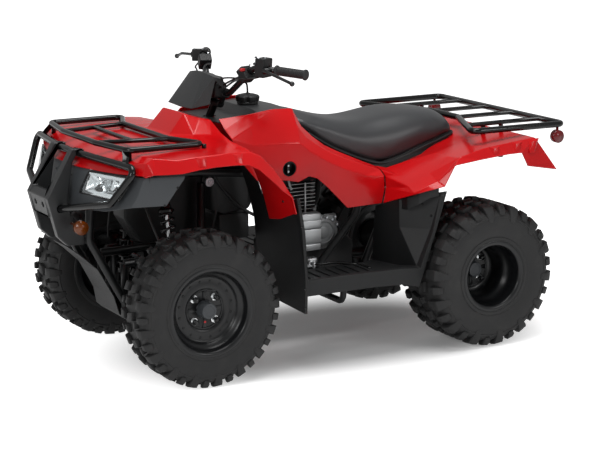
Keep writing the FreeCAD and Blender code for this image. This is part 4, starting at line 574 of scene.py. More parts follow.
def tyre(name, node, body, place, side, wheel, middle_blocks):
    """The turned carcass with one pitch of blocks repeated round it."""
    side_height = wheel.radius - TREAD_MM - wheel.bead
    half = [(wheel.width * across, wheel.bead + side_height * up) for across, up in TYRE_OUTLINE]
    other_half = [(-across, reach) for across, reach in reversed(half[1:])]
    carcass = turned(other_half + half, FINE_STEPS, closed=True)
    blocks = []
    for hand, at in ((1, -0.25), (-1, 0.25)):
        blocks += [shoulder_block(LONG_LUG, hand, at, wheel), shoulder_block(SHORT_LUG, hand, -at, wheel)]
    blocks += [middle_block(*values, wheel) for values in middle_blocks]
    mesh = merged(carcass, grown(merged(*blocks), RING, Count=wheel.pitches, Finish=tyre_rubber))
    for face in mesh.polygons:
        face.material_index = 0
    piece(name, put(smooth(mesh, 38.0), place, side < 0), body, "tyre_rubber", [node])


# Wheels

# The pressed discs from hub to lip and back behind, in millimetres: (across, radius)
FRONT_RIM = [(81, 155.6), (82, 153), (81.5, 146), (79, 140.5), (74, 137), (66, 135.8), (58, 134.5),
             (53, 131.5), (49, 127), (45, 121), (40, 116.5), (35, 114), (32, 110), (31, 104), (32, 92),
             (34, 81), (33, 74), (29, 69.5), (26.5, 67), (26, 64), (26, 30), (25, 27), (22, 27), (22, 66),
             (25, 76), (26, 92), (25, 106), (20, 113.7), (-20, 113.7), (-36.4, 135.7), (-77, 135.7),
             (-81, 139), (-81, 156), (-77, 156), (-77, 139.7), (-36.4, 139.7), (-20, 117.7), (20, 117.7),
             (36.4, 139.7), (77, 139.7), (77, 155)]
REAR_RIM = [(110, 129.6), (111, 127), (110.5, 120), (108, 115), (102, 111.4), (92, 109.8), (74, 109.4),
            (62, 108), (52, 105), (44, 99), (37, 93), (30, 89.2), (22, 88), (0, 87.8), (-18, 87.6),
            (-26, 86.4), (-30, 82), (-30, 76), (-33, 71), (-37, 67), (-38, 64), (-38, 30), (-39, 27),
            (-42, 27), (-42, 66), (-36, 84), (-29, 87.7), (-49.5, 109.7), (-106, 109.7), (-110, 112),
            (-110, 130), (-106, 130), (-106, 113.7), (-49.5, 113.7), (-27.5, 91.7), (27.5, 91.7),
            (49.5, 113.7), (106, 113.7), (106, 129)]
NUT_CIRCLE = 55.0
NUTS = 4
RIM_HOLES = 16
RIM_HOLE_CIRCLE = 98.0
RIM_HOLE_FACE = 31.6


def wheel_fittings(tag, body, place, side, wheel):
    """The chromed nuts on their washers, the pressed spokes round them, the hub's cap and its dust ring."""
    face = wheel.face
    top = face + wheel.cap

    def fit(name, mesh, angle, slot_name, coat):
        piece(name + tag, put(smooth(mesh, angle), place, side < 0), body, slot_name, finishes=[coat])

    nut = turned([(face + 3, 0), (face + 3, 12.5), (face + 5, 12.5), (face + 6, 10.8), (face + 19, 10.6),
                  (face + 22.5, 8.0), (face + 24, 4.0), (face + 24.3, 0)], 6)
    washer = turned([(face + 2, 0), (face + 2, 14.5), (face + 4.6, 14.0), (face + 5.6, 12.4),
                     (face + 5.6, 0)], 24)
    shape = put(merged(nut, washer), polar(0, NUT_CIRCLE * MM, math.pi / NUTS))
    fit("wheel_nuts_", grown(shape, RING, Count=NUTS, Finish=chromed_steel), 25.0, "hub_steel", chromed_steel)
    spoke = loft([mm((x, face + rise, -radius) for x, rise in
                     ((-half, 3.5), (-half * 0.8, 7.5), (half * 0.8, 7.5), (half, 3.5)))
                  for radius, half in ((30.0, 5.0), (46.0, 7.0), (62.5, 9.5))])
    spokes = grown(rounded(spoke, 1.2, 25.0), RING, Count=NUTS, Finish=rim_enamel)
    fit("hub_spokes_", spokes, 30.0, "rim_steel", rim_enamel)
    cap = turned([(face - 1, 0), (face - 1, 31.5), (face + 6, 31.5), (face + 8, 30.0), (top - 5, 27.6),
                  (top - 1.5, 26.0), (top, 23.0), (top, 18.5), (top - 1.2, 17.8), (top - 1.2, 0)], 40)
    fit("hub_cap_", cap, 30.0, "grip_rubber", grey_polypropylene)
    ring = turned([(face + 3.5, 62.5), (face + 6.5, 63.5), (face + 7.5, 66.0), (face + 6.5, 69.0),
                   (face + 3.5, 69.5), (face + 3.0, 66.0)], 64, closed=True)
    fit("hub_rim_", ring, 50.0, "rim_steel", rim_enamel)


def wheel_set(tag, hand, sign, x, wheel, body, rim_outline, middle_blocks):
    """One wheel with its tyre, pressed disc and fittings. Gives back the middle of the wheel."""
    at = Vector((x, sign * wheel.out * MM, wheel.radius * MM))
    tyre(f"{tag}_tyre_tread_{hand}", f"{tag}_tyre_{hand}", body, at, sign, wheel, middle_blocks)
    disc = put(smooth(turned(rim_outline, FINE_STEPS, closed=True), 42.0), at, sign < 0)
    piece(f"{tag}_rim_pressing_{hand}", disc, body, "rim_steel", [f"{tag}_rim_{hand}"])
    wheel_fittings(f"{tag}_{hand}", body, at, sign, wheel)
    return at


for hand, sign in HANDS:
    wheel_body = "front_wheel_" + hand
    at = wheel_set("front", hand, sign, FRONT_AXLE_X, FRONT_WHEEL, wheel_body, FRONT_RIM, FRONT_BLOCKS)
    # The disc's holes are not cut: low black discs on its face stand for them, painted dark as the shade seen
    # through a hole.
    turns = [2 * math.pi * (step + 0.5) / RIM_HOLES for step in range(RIM_HOLES)]
    around = [polar(sign * RIM_HOLE_FACE * MM, RIM_HOLE_CIRCLE * MM, turn) for turn in turns]
    holes = [(at + out, (0, sign, 0)) for out in around]
    heads("front_rim_holes_" + hand, holes, 5.0, 1.2, wheel_body, "rim_steel", black_polypropylene, 16)
    wheel_set("rear", hand, sign, REAR_AXLE_X, REAR_WHEEL, "rear_axle", REAR_RIM, REAR_BLOCKS)
    smoothed("front_hub_turned_" + hand, "front_hub_" + hand, [rim_enamel])
smoothed("rear_axle_turned", "rear_axle", [rim_enamel])
# A dab of paint on the left front disc, under the hub's cap
MARK_DOWN = 44.0
mark = turned([(24.0, 0), (24.0, 4.6), (29.4, 4.2), (29.8, 3.4), (29.9, 0)], 16)
put(smooth(mark), Vector((FRONT_AXLE_X, FRONT_WHEEL.out * MM, (FRONT_WHEEL.radius - MARK_DOWN) * MM)))
piece("painted_dot_on_hub", mark, "front_wheel_left", "red_lens", finishes=[signal_red])

# Panels, with their creases and cut rims rounded

# The pale strips, in metres: how far out and how high they start, on the guards' sides and the floor's edge,
# whose flat top is a painted highlight
STRIP_OUT, STRIP_TOP = 0.4495, 0.64
FLOOR_EDGE_OUT, FLOOR_EDGE_LOW, FLOOR_EDGE_HIGH = 0.43, 0.29, 0.34


def pale_strip_and_painted_highlight(face):
    """The guards' and floors' outer strips, which are smoother and paler than the rest; on the floor edge's
    flat top the paleness is a painted highlight.
    """
    centre = face.calc_center_median()
    out = abs(centre.y)
    side = out > STRIP_OUT and abs(face.normal.y) > 0.4 and centre.z < STRIP_TOP
    # The floor edge's flat top: pale as a painted highlight
    top = out > FLOOR_EDGE_OUT and abs(face.normal.z) > 0.6 and FLOOR_EDGE_LOW < centre.z < FLOOR_EDGE_HIGH
    return 1 if side or top else 0


PANELS = [("front_fender", 4.0), ("rear_fender", 4.0), ("side_cover_left", 4.0), ("side_cover_right", 4.0),
          ("tank_cover", 3.0), ("front_fascia", 3.0), ("meter_cover", 3.0), ("skid_plate", 3.0)]
for node, width in PANELS:
    # The tank's cover and the tower take the black with a painted sheen
    own = [satin_black_with_painted_sheen] if node in ("tank_cover", "meter_cover") else []
    dressed(node + "_moulding", node, width, wall_mm=PANEL_WALL_MM, finishes=own)
# Guards with pale grey outer strips, and a painted highlight on the floor edge's top
for node in ("front_guard_left", "front_guard_right", "rear_guard_left", "rear_guard_right"):
    dressed(node + "_moulding", node, 3.0, wall_mm=PANEL_WALL_MM,
            finishes=[black_polypropylene, pale_strip_and_painted_highlight_finish], mark=pale_strip_and_painted_highlight)
for node, width, crease, own in (("bumper_cover", 4.0, 20.0, [satin_black_with_painted_sheen]),
                                 ("engine_crankcase", 5.0, 20.0, []), ("tow_hitch", 1.0, 40.0, []),
                                 ("tail_light", 4.0, 30.0, []), ("controls_left", 4.0, 60.0, []),
                                 ("controls_right", 4.0, 60.0, [])):
    dressed(node + "_finished", node, width, crease, finishes=own)

CYLINDER_X = -0.050
FINS_REACH = 0.0515


def fin_edges(face):
    """Bare metal on the upright outer edges of the cooling fins."""
    centre = face.calc_center_median()
    outer = max(abs(centre.x - CYLINDER_X), abs(centre.y)) > FINS_REACH
    return 1 if outer and abs(face.normal.z) < 0.5 else 0


dressed("engine_cylinder_finned", "engine_cylinder", 0.8, 40.0, finishes=[engine_paint, cast_aluminium],
        mark=fin_edges)

# Tubes and turned parts, shaded round

TUBES = ["frame_left", "frame_right", "frame_cross", "exhaust", "swingarm", "bumper_tubes", "front_rack",
         "rear_rack", "floor_stays", "upper_arms", "lower_arms", "steering_stem", "handlebar", "levers",
         "reflectors_front", "reflectors_rear", "knuckle_left", "knuckle_right", "tie_rod_left",
         "tie_rod_right"]
for node in TUBES:
    smoothed(node + "_round", node)

# Springs and dampers

# Places along a damper as shares of its length: the coil's foot and head, and where the body ends
COIL_FOOT, COIL_HEAD, BODY_END = 0.2, 0.84, 0.56
STEPS_A_TURN = 12
EYE_HALF_MM = 16.0


def damper(foot, head, eye_way, coil_mm, wire_mm, turns):
    """A coil spring and the damper inside it: the spring mesh, the dark body and the bright shaft."""
    foot, head, eye_way = Vector(foot), Vector(head), Vector(eye_way)
    way = (head - foot).normalized()
    length = (head - foot).length / MM
    beside = way.cross(eye_way).normalized()
    other = way.cross(beside)
    points = []
    for step in range(turns * STEPS_A_TURN + 1):
        share = step / (turns * STEPS_A_TURN)
        angle = 2 * math.pi * turns * share
        # The end turns lie flat on their seats
        lift = share - 0.035 * math.sin(2 * math.pi * share)
        up = length * (COIL_FOOT + (COIL_HEAD - COIL_FOOT) * lift)
        points.append(foot + (way * up + (beside * math.cos(angle) + other * math.sin(angle)) * coil_mm) * MM)
    spring = smooth(rod(points, wire_mm, 4, 2), 60.0)
    seat = coil_mm + 3

    def along(outline, steps=32):
        return turned_between(foot, head, [(share * length, out) for share, out in outline], steps)

    lug = 8 / length
    body = along([(lug, 0), (lug, 11), (20 / length, 13.5), (0.15, 14), (0.155, 26), (0.175, seat),
                  (0.195, seat), (COIL_FOOT, 22), (0.205, 15.5), (BODY_END, 15.5), (0.57, 13), (0.57, 0)])
    cap = along([(0.83, 0), (0.83, 20), (0.845, 22), (0.85, seat), (0.87, seat), (0.885, 20), (0.94, 13),
                 (1 - lug, 11), (1 - lug, 0)])
    shaft = along([(BODY_END, 0), (BODY_END, 6.5), (COIL_HEAD, 6.5), (COIL_HEAD, 0)], 20)
    eyes = [turned_between(centre - eye_way * EYE_HALF_MM * MM, centre, [
        (0, 6), (0, 13), (1.5, 15), (30.5, 15), (32, 13), (32, 6), (0, 6)]) for centre in (foot, head)]
    return spring, smooth(merged(body, cap, *eyes), 32.0), smooth(shaft, 30.0)


def damper_pieces(end, suffix, node, made):
    """The three pieces of a damper, each with its own finish."""
    spring, body, shaft = made
    piece(f"{end}_spring{suffix}", spring, CHASSIS, "spring_steel", [node])
    piece(f"{end}_damper{suffix}", body, CHASSIS, "spring_steel", finishes=[black_powder_coat])
    piece(f"{end}_damper_shaft{suffix}", shaft, CHASSIS, "hub_steel", finishes=[chromed_steel])


for hand, sign in HANDS:
    ends = mm(sided([(549.5, 235, 207), (549.5, 142, 613.6)], sign))
    damper_pieces("front", "_" + hand, "front_shocks", damper(*ends, (1, 0, 0), 25.0, 4.2, 9))
ends = mm([(-487.5, 0, 296.3), (-382.3, 0, 602.7)])
damper_pieces("rear", "", "rear_shock", damper(*ends, (0, 1, 0), 27.0, 4.8, 7))

# Seat

# Its sections: place, half width, then the heights of crown, shoulder, side and low edge
SEAT_SHARES = [(0.08, 0.29, 0.735, 0.72, 0.685, 0.64), (-0.045, 0.32, 0.70, 0.69, 0.64, 0.56),
               (-0.225, 0.345, 0.648, 0.635, 0.56, 0.445), (-0.445, 0.36, 0.598, 0.585, 0.47, 0.35),
               (-0.625, 0.37, 0.612, 0.60, 0.45, 0.294), (-0.80, 0.37, 0.645, 0.628, 0.48, 0.335),
               (-0.945, 0.365, 0.655, 0.638, 0.50, 0.385), (-1.10, 0.345, 0.642, 0.624, 0.50, 0.425),
               (-1.215, 0.32, 0.622, 0.604, 0.50, 0.455), (-1.30, 0.27, 0.59, 0.575, 0.495, 0.465),
               (-1.335, 0.21, 0.548, 0.54, 0.495, 0.472)]
# Below this height, in metres, the cover is pulled sharp round the base
SHARP_BELOW = 0.84
CLOTH_FRAMES = 20
MOST_SWELL_MM = 6.0


def seat_cage():
    sections = []
    for x, half_width, top, shoulder, side, low in SEAT_SHARES:
        half = [(0, top), (half_width * 0.34, top - 0.002), (half_width * 0.66, shoulder + 0.002),
                (half_width * 0.92, side * 0.45 + shoulder * 0.55), (half_width, side),
                (half_width * 0.985, (side + low) / 2), (half_width * 0.94, low)]
        whole = half + [(-across, up) for across, up in reversed(half[1:])]
        sections.append([middle(x, across, up) for across, up in whole])
    return sections


def swollen(mesh):
    """The mesh after its cover has been blown up a little by cloth pressure, no point moved far."""
    before = [vertex.co.copy() for vertex in mesh.vertices]
    thing = placed("seat_swelling", mesh)
    cloth = thing.modifiers.new("cloth", "CLOTH")
    cloth.settings.use_pressure = True
    cloth.settings.uniform_pressure_force = 4.0
    cloth.settings.quality = 4
    cloth.settings.effector_weights.gravity = 0.0
    cloth.point_cache.frame_start = 1
    cloth.point_cache.frame_end = CLOTH_FRAMES
    for frame_number in range(1, CLOTH_FRAMES + 1):
        bpy.context.scene.frame_set(frame_number)
    result = baked(thing)
    bpy.context.scene.frame_set(1)
    for vertex, start in zip(result.vertices, before):
        moved = vertex.co - start
        if moved.length > MOST_SWELL_MM * MM:
            vertex.co = start + moved.normalized() * MOST_SWELL_MM * MM
    return result


def seat_cushion():
    """The vinyl-covered foam: crowned, its lower edge sharp where the cover is pulled round the base."""
    form = loft(seat_cage())
    bmesh.ops.recalc_face_normals(form, faces=form.faces)
    crease = form.edges.layers.float.new("crease_edge")
    for edge in form.edges:
        if edge_turn(edge) > math.radians(60) and max(v.co.z for v in edge.verts) < SHARP_BELOW:
            edge[crease] = 0.7
    mesh = modified(as_mesh(form), ("SUBSURF", {"levels": 2, "render_levels": 2}))
    mesh = modified(mesh, ("REMESH", {"mode": "VOXEL", "voxel_size": 5.5 * MM}))
    mesh = swollen(mesh)
    # The cover's skin is even over the foam, with the voxels' steps gone
    return modified(mesh, ("CORRECTIVE_SMOOTH", {"factor": 0.5, "iterations": 12, "use_only_smooth": True}),
                    ("SUBSURF", {"levels": 1, "render_levels": 1}))


cushion = piece("seat_cushion", smooth(seat_cushion(), 60.0), CHASSIS, "seat_vinyl", ["seat"])
edge_line = [middle(x, half_width * 0.955, low) for x, half_width, _, _, _, low in SEAT_SHARES]
other_edge = sided(reversed(edge_line), -1)
welt = rod(edge_line + other_edge, 3.6, closed=True)
piece("seat_welt", smooth(welt, 60.0), CHASSIS, "seat_vinyl", finishes=[grip_rubber])
pan = loft([[middle(x, half_width * across, low + up) for across, up in
             ((0.90, 0.02), (0.95, -0.03), (0.92, -0.11), (-0.92, -0.11), (-0.95, -0.03), (-0.90, 0.02))]
            for x, half_width, _, _, _, low in SEAT_SHARES[1:-1]])
piece("seat_base_pan", smooth(rounded(pan, 3.0, 40.0)), CHASSIS, "black_plastic")

# Headlights

# The lens stands over the edges of its opening; the bowl goes through it
LENS_CORNERS = [(0.613, 0.36, 0.458), (0.484, 0.79, 0.462), (0.554, 0.71, 0.30), (0.664, 0.30, 0.305)]
BOWL_CORNERS = [(0.605, 0.36, 0.44), (0.50, 0.70, 0.445), (0.54, 0.68, 0.33), (0.64, 0.36, 0.33)]
LAMP_OUT = Vector((0.83, 0.55, 0.08)).normalized()
BULB_PLACE = (0.575, 0.47, 0.385)
BULB_BACK_MM = 26.0
BULB = [(0, 0), (0, 7.5), (6, 7.5), (7, 5.4), (15, 5.4), (18.5, 4.0), (20, 0)]


def lamp_sheet(sign, depth, columns, rows, places, shrink):
    """A grid between four corners, each point moved out by depth(u, v) millimetres."""
    corners = [front(*corner) for corner in places]
    centre = sum(corners, Vector()) / 4
    corners = [centre + (corner - centre) * shrink for corner in corners]
    form = bmesh.new()
    grid = []
    for row in range(rows + 1):
        line = []
        for column in range(columns + 1):
            u, v = column / columns, row / rows
            top = corners[0].lerp(corners[1], u)
            low = corners[3].lerp(corners[2], u)
            place = top.lerp(low, v) + LAMP_OUT * depth(2 * u - 1, 2 * v - 1) * MM
            place.y *= sign
            line.append(form.verts.new(place))
        grid.append(line)
    for first, second in zip(grid, grid[1:]):
        for column in range(columns):
            form.faces.new((first[column], first[column + 1], second[column + 1], second[column]))
    return form


def walled(form, wall_mm):
    """A sheet given a wall inwards from where it lies, as a plain mesh."""
    bmesh.ops.recalc_face_normals(form, faces=form.faces)
    facing = sum((face.normal * face.calc_area() for face in form.faces), Vector())
    if facing.x < 0:
        bmesh.ops.reverse_faces(form, faces=form.faces)
    bmesh.ops.solidify(form, geom=form.faces[:], thickness=wall_mm * MM)
    return as_mesh(form)


# The frame's opening over the bowl, in shares of the body's half width and height
HOLE_WIDE, HOLE_FOOT, HOLE_TOP = 0.33, 0.338, 0.434
# Depths of the lamp's sheets in millimetres, over u and v from -1 to 1 between the corners
LENS_OUT, LENS_CROWN, LENS_TURN_DOWN = 6.0, 2.5, 7.5
FRAME_OUT, FRAME_RIPPLE, RIPPLES = 2.2, 0.5, 28
BOWL_IN, BOWL_DEEP, MAIN_DEEP, SMALL_DEEP = 3.5, 10, 30, 18
FLUTE_HIGH, FLUTES = 0.9, 22


def lens_depth(u, v):
    """Crowned, and turned down at its edges to meet the panel."""
    return LENS_OUT - LENS_TURN_DOWN * max(u * u, v * v) ** 12 + LENS_CROWN * (1 - u * u) * (1 - v * v)


def frame_depth(u, v):
    """The bright frame round the bowl, close over the panel."""
    return FRAME_OUT + FRAME_RIPPLE * math.sin(v * RIPPLES)


def bowl_depth(u, v):
    """A bowl for the main beam beside a smaller one, pressed in one reflector with upright flutes."""
    edge = (1 - u ** 6) * (1 - v ** 6)
    main = math.exp(-((u + 0.28) ** 2 / 0.22 + v ** 2 / 0.8))
    small = math.exp(-((u - 0.62) ** 2 / 0.05 + (v + 0.1) ** 2 / 0.5))
    flute = FLUTE_HIGH * abs(math.sin(u * FLUTES)) * edge
    return flute - BOWL_IN - edge * (BOWL_DEEP + MAIN_DEEP * main + SMALL_DEEP * small)


def over_bowl(place, sign):
    """Whether a place of the frame lies over the bowl, or over the dark end of the opening."""
    inner_edge = BOWL_CORNERS[0][1]
    across = (place.y * sign / PANEL_REACH - inner_edge) / HOLE_WIDE
    up = (place.z - PANEL_REACH) / PANEL_REACH
    return across < 0.96 and HOLE_FOOT < up < HOLE_TOP or across < 0.06


def headlight(hand, sign):
    """A clear lens over a chromed frame and bowl, with a black bezel and the bulb."""
    def lamp_piece(part, mesh, angle, slot_name, nodes=(), finishes=()):
        piece(f"headlight_{part}_{hand}", smooth(mesh, angle), CHASSIS, slot_name, nodes, finishes)

    lens = lamp_sheet(sign, lens_depth, 40, 24, LENS_CORNERS, 0.985)
    lamp_piece("lens", walled(lens, 2.2), 50.0, "lamp_lens", ["headlight_" + hand])
    bowl = lamp_sheet(sign, bowl_depth, 60, 20, BOWL_CORNERS, 0.97)
    lamp_piece("bowl", walled(bowl, 1.6), 30.0, "lamp_lens", finishes=[chromed_steel])
    surround = lamp_sheet(sign, frame_depth, 44, 24, LENS_CORNERS, 0.955)
    # The frame is open over the bowl, and its inner end is the panel's own dark edge
    hole = [face for face in surround.faces if over_bowl(face.calc_center_median(), sign)]
    bmesh.ops.delete(surround, geom=hole, context="FACES")
    lamp_piece("frame", walled(surround, 0.8), 30.0, "lamp_lens", finishes=[chromed_steel])
    corners = sided([front(*corner) + LAMP_OUT * 0.8 * MM for corner in LENS_CORNERS], sign)
    line = []
    for first, second in zip(corners, corners[1:] + corners[:1]):
        line += [Vector(first).lerp(Vector(second), share) for share in (0.04, 0.5, 0.96)]
    bezel = rod(line, 2.6, 3, 2, closed=True)
    lamp_piece("bezel", bezel, 60.0, "black_plastic", finishes=[black_powder_coat])
    foot = front(*BULB_PLACE) - LAMP_OUT * BULB_BACK_MM * MM
    bulb = turned_between(*sided([foot, foot + LAMP_OUT], sign), BULB, 20)
    lamp_piece("bulb", bulb, 35.0, "lamp_lens", finishes=[cast_aluminium])


for hand, sign in HANDS:
    headlight(hand, sign)

# Dark parts inside the front: the air box, the splash box, the battery tray, the horn and the hoses


def case(name, stations, round_mm, brow=0.0):
    """A moulded box over stations of (place, half width, foot, top), its upper edges cut back by the brow."""
    sections = []
    for x, half, low, high in stations:
        crown = [(0.8, high), (-0.8, high)] if brow else []
        outline = [(1, low), (1, high - brow), *crown, (-1, high - brow), (-1, low)]
        sections.append([Vector((x, across * half, up)) for across, up in outline])
    piece(name, smooth(rounded(loft(sections), round_mm, 25.0, 3)), CHASSIS, "black_plastic")


case("air_box", [(0.155, 0.055, 0.545, 0.715), (0.185, 0.078, 0.515, 0.735), (0.285, 0.08, 0.505, 0.745),
                 (0.335, 0.072, 0.52, 0.73)], 8.0, brow=0.03)
case("front_splash_box", [(0.352, 0.045, 0.46, 0.70), (0.36, 0.055, 0.44, 0.725), (0.60, 0.055, 0.43, 0.73),
                          (0.66, 0.05, 0.52, 0.72)], 6.0)
case("battery_tray", [(0.185, 0.075, 0.415, 0.50), (0.19, 0.075, 0.41, 0.505), (0.30, 0.075, 0.41, 0.505),
                      (0.305, 0.075, 0.415, 0.50)], 5.0)
dial = turned([(0, 0), (0, 17), (5, 17), (7, 15.5), (7, 12), (5, 11), (5, 7), (8, 5), (8, 0)], 32)
piece("horn_disc", smooth(put(dial, Vector((0.345, 0.078, 0.628))), 30.0), CHASSIS, "hub_steel",
      finishes=[zinc_steel])
for name, points, radius in (
        ("intake_hose", [(160, 20, 630), (100, 30, 630), (30, 40, 600), (-10, 30, 585)], 21.0),
        ("wiring_loom", [(460, 95, 720), (360, 90, 700), (300, 85, 600), (200, 85, 500),
                         (100, 90, 460)], 6.0),
        ("drain_hose", [(310, 70, 530), (335, 70, 460), (320, 65, 400), (330, 60, 330)], 7.0)):
    piece(name, smooth(rod(mm(points), radius, 3, 5), 60.0), CHASSIS, "black_plastic", finishes=[grip_rubber])

# Guard tops that close the gap between the rear panels and the floor guards


def guard_flange(sign):
    sections = []
    for x, inner, outer, high, low in ((-386, 215, 452, 604, 570), (-350, 215, 452, 606, 566),
                                       (-310, 215, 440, 585, 545), (-285, 215, 400, 565, 520)):
        sections.append(mm(sided([(x, inner, low - 20), (x, inner, high - 12), (x, outer - 6, high),
                                  (x, outer - 6, low)], sign)))
    return rounded(loft(sections), 2.0)


piece("guard_flanges", smooth(both_sides(guard_flange)), CHASSIS, "black_plastic")

# Screws and seams on the panels

SURFACES = {}


def on_node(node, place):
    """The nearest place on a node's surface to a point in millimetres, and the way it faces."""
    if node not in SURFACES:
        form = welded(node)
        SURFACES[node] = BVHTree.FromBMesh(form)
        form.free()
    where, facing, _, _ = SURFACES[node].find_nearest(Vector(place) * MM)
    outward = Vector(place) * MM - where
    if outward.length > 0.2 * MM and outward.dot(facing) < 0:
        facing = -facing
    return where, facing


def screws(name, node, places, radius_mm, height_mm):
    """Black screw heads sunk a little into a panel, nearest to the given places in millimetres."""
    pairs = [on_node(node, place) for place in places]
    heads(name, pairs, radius_mm, height_mm, body_of(node), "black_steel", black_powder_coat, 10)


ARCH_SCREWS = [(318, 330, 765), (262, 380, 690), (232, 400, 600)]
STRIP_SCREWS = [(205, 482, 600), (196, 482, 520), (182, 480, 300), (178, 478, 232)]
FLOOR_SCREWS = [(-330, 420, 540), (-352, 445, 500), (-400, 446, 570), (-290, 330, 520), (-60, 448, 300),
                (120, 448, 296), (-220, 448, 300)]
NOSE_SCREWS = [(742, 440, 745), (738, 415, 690), (744, 375, 640), (650, 460, 700), (690, 445, 640),
               (862, 70, 640), (862, 70, 700)]
SEAM = [(744, 462, 735), (745, 445, 712), (742, 425, 680), (741, 402, 650), (742, 380, 622)]
for hand, sign in HANDS:
    screws("arch_screws_" + hand, "front_fender", sided(ARCH_SCREWS, sign), 4.5, 2.4)
    screws("guard_screws_" + hand, "front_guard_" + hand, sided(STRIP_SCREWS, sign), 4.0, 2.2)
    screws("footwell_screws_" + hand, "rear_guard_" + hand, sided(FLOOR_SCREWS, sign), 4.5, 2.6)
screws("fascia_screws", "front_fascia", NOSE_SCREWS + sided(NOSE_SCREWS, -1), 3.8, 2.2)


def fascia_seam(sign):
    return rod([on_node("front_fascia", place)[0] for place in sided(SEAM, sign)], 1.1, 3, 1)


piece("fascia_seams", smooth(both_sides(fascia_seam), 60.0), CHASSIS, "black_plastic", finishes=[grip_rubber])

# Pressed wedges on the fenders' lips, as small bright facets

# Each from its high to its low point on the left lip
LIP_WEDGES = [(front(0.05, 0.905, 0.588), front(0.05, 0.950, 0.522)),
              (front(-0.22, 0.90, 0.588), front(-0.22, 0.950, 0.520)),
              (rear(-0.02, 0.938, 0.468), rear(-0.02, 0.975, 0.402)),
              (rear(-0.22, 0.938, 0.488), rear(-0.20, 0.976, 0.410)),
              (rear(-0.37, 0.936, 0.498), rear(-0.33, 0.976, 0.400))]
WEDGE_HALF_MM = 25.0
WEDGE_OUT_MM = 9.0


def lip_wedge(high, low, sign):
    """A low pyramid on the band between two points of the lip, its crest towards the top."""
    along = Vector((WEDGE_HALF_MM * MM, 0, 0))
    crest = high.lerp(low, 0.25) + Vector((0, WEDGE_OUT_MM, WEDGE_OUT_MM * 0.5)) * MM
    corners = [high - along, high + along, low + along * 0.45, low - along * 0.45, crest - along * 0.35,
               crest + along * 0.35]
    form = bmesh.new()
    made = [form.verts.new(place) for place in sided(corners, sign)]
    for loop in ((0, 1, 5, 4), (1, 2, 5), (2, 3, 4, 5), (3, 0, 4), (0, 3, 2, 1)):
        form.faces.new([made[i] for i in loop])
    return rounded(form, 1.0, 20.0)


wedges = [lip_wedge(high, low, sign) for high, low in LIP_WEDGES for sign in (1, -1)]
piece("lip_wedges", smooth(merged(*wedges), 18.0), CHASSIS, "red_plastic")

# The vent in each side cover: a black cup with a raised rim, a bridge and two screws

VENT = Vector((0.119, 0.2535, 0.683))
VENT_SCREW_OUT = 0.2492
VENT_SCREW_LEVELS = (0.693, 0.672)


def vent(sign):
    cup = turned([(-22, 0), (-22, 22), (-3, 26.4), (3.4, 26.8), (4.8, 25.6), (4.6, 24.0), (1, 23.4),
                  (-17, 20.4), (-17.5, 0)], 40)
    bridge = block((-5, -14, -21), (5, -4, 21), 2.0)
    return put(merged(cup, bridge), Vector((VENT.x, sign * VENT.y, VENT.z)), sign < 0)


piece("side_vents", smooth(both_sides(vent)), CHASSIS, "black_plastic", finishes=[black_powder_coat])
heads("side_vent_screws", [(Vector((VENT.x, sign * VENT_SCREW_OUT, z)), (0, sign, 0)) for sign in (1, -1)
                           for z in VENT_SCREW_LEVELS], 4.2, 2.4, CHASSIS, "black_steel", zinc_steel, 12)

# Engine: the banded cover, the round one behind it with its bolts, the fins' rims, the change shaft's housing

bands = [block((-74, 110.5, 349), (8, 145, 373.5), 3.5), block((-74, 110.5, 376.5), (8, 149, 429.5), 3.0),
         block((-74, 110.5, 432.5), (8, 149, 462), 3.0), block((-74, 110.5, 459), (8, 147, 487), 5.0),
         block((-70, 110.5, 352), (4, 138, 484), 2.0)]
piece("engine_banded_cover", smooth(merged(*bands), 32.0), CHASSIS, "engine_alloy", ["engine_left_cover"])
ROUND_COVER = Vector((-0.0953, 0.1104, 0.4083))
disc = turned([(0, 0), (0, 64), (9, 63.6), (11, 62), (12.5, 57), (17, 54), (20, 48), (20.4, 40), (18, 37),
               (18, 24), (21, 22), (22, 18), (22, 0)], 48)
lump = block((-150, 111, 440), (-96, 128, 474), 7.0)
spur = block((-160, 111, 424), (-128, 124, 444), 5.0)
piece("engine_round_cover", smooth(merged(put(disc, ROUND_COVER), lump, spur), 32.0), CHASSIS, "engine_alloy",
      finishes=[dull_aluminium])
BOLT_CIRCLE_MM = 57.5
BOLT_TURNS = (20, 75, 130, 160, 200, 250, 305)
bolts = []
for degrees in BOLT_TURNS:
    turn = math.radians(degrees)
    out = Vector((math.cos(turn) * BOLT_CIRCLE_MM, 12.2, math.sin(turn) * BOLT_CIRCLE_MM)) * MM
    bolts.append((ROUND_COVER + out, (0, 1, 0)))
bolts += [(place, (0, 1, 0)) for place in mm([(-141, 128.2, 463), (-106, 128.2, 463), (-149, 128.2, 434)])]
heads("engine_cover_bolts", bolts, 5.2, 6.0, CHASSIS, "hub_steel", zinc_steel, 6)
# The rims of the fins, and the long stud that holds the cylinder down
FINS = 10
FIN_STEP, FIN_FOOT, FIN_THICK, FIN_HALF = 13.5, 456.9, 2.6, 52.6
fin_rims = [rod(mm([(-58, 56.5, 452), (-58, 56.5, 584)]), 3.0)]
cylinder = CYLINDER_X / MM
for level in range(FINS):
    z = FIN_FOOT + FIN_STEP * level
    fin_rims.append(block((cylinder - FIN_HALF, -FIN_HALF, z), (cylinder + FIN_HALF, FIN_HALF, z + FIN_THICK),
                          0.8, 1))
piece("fin_machined_edges", smooth(merged(*fin_rims), 30.0), CHASSIS, "engine_alloy",
      finishes=[machined_aluminium])
shaft = turned_between((-0.030, 0.140, 0.304), (-0.030, 0.2, 0.304), [
    (0, 0), (0, 11), (14, 11), (15, 7), (38, 7), (40, 5.5), (40, 0)])
boxes = [block((-62, 110, 286), (-18, 146, 322), 8.0), block((-78, 112, 279), (-48, 138, 300), 6.0)]
piece("change_shaft_housing", smooth(merged(*boxes, shaft), 32.0), CHASSIS, "engine_alloy")
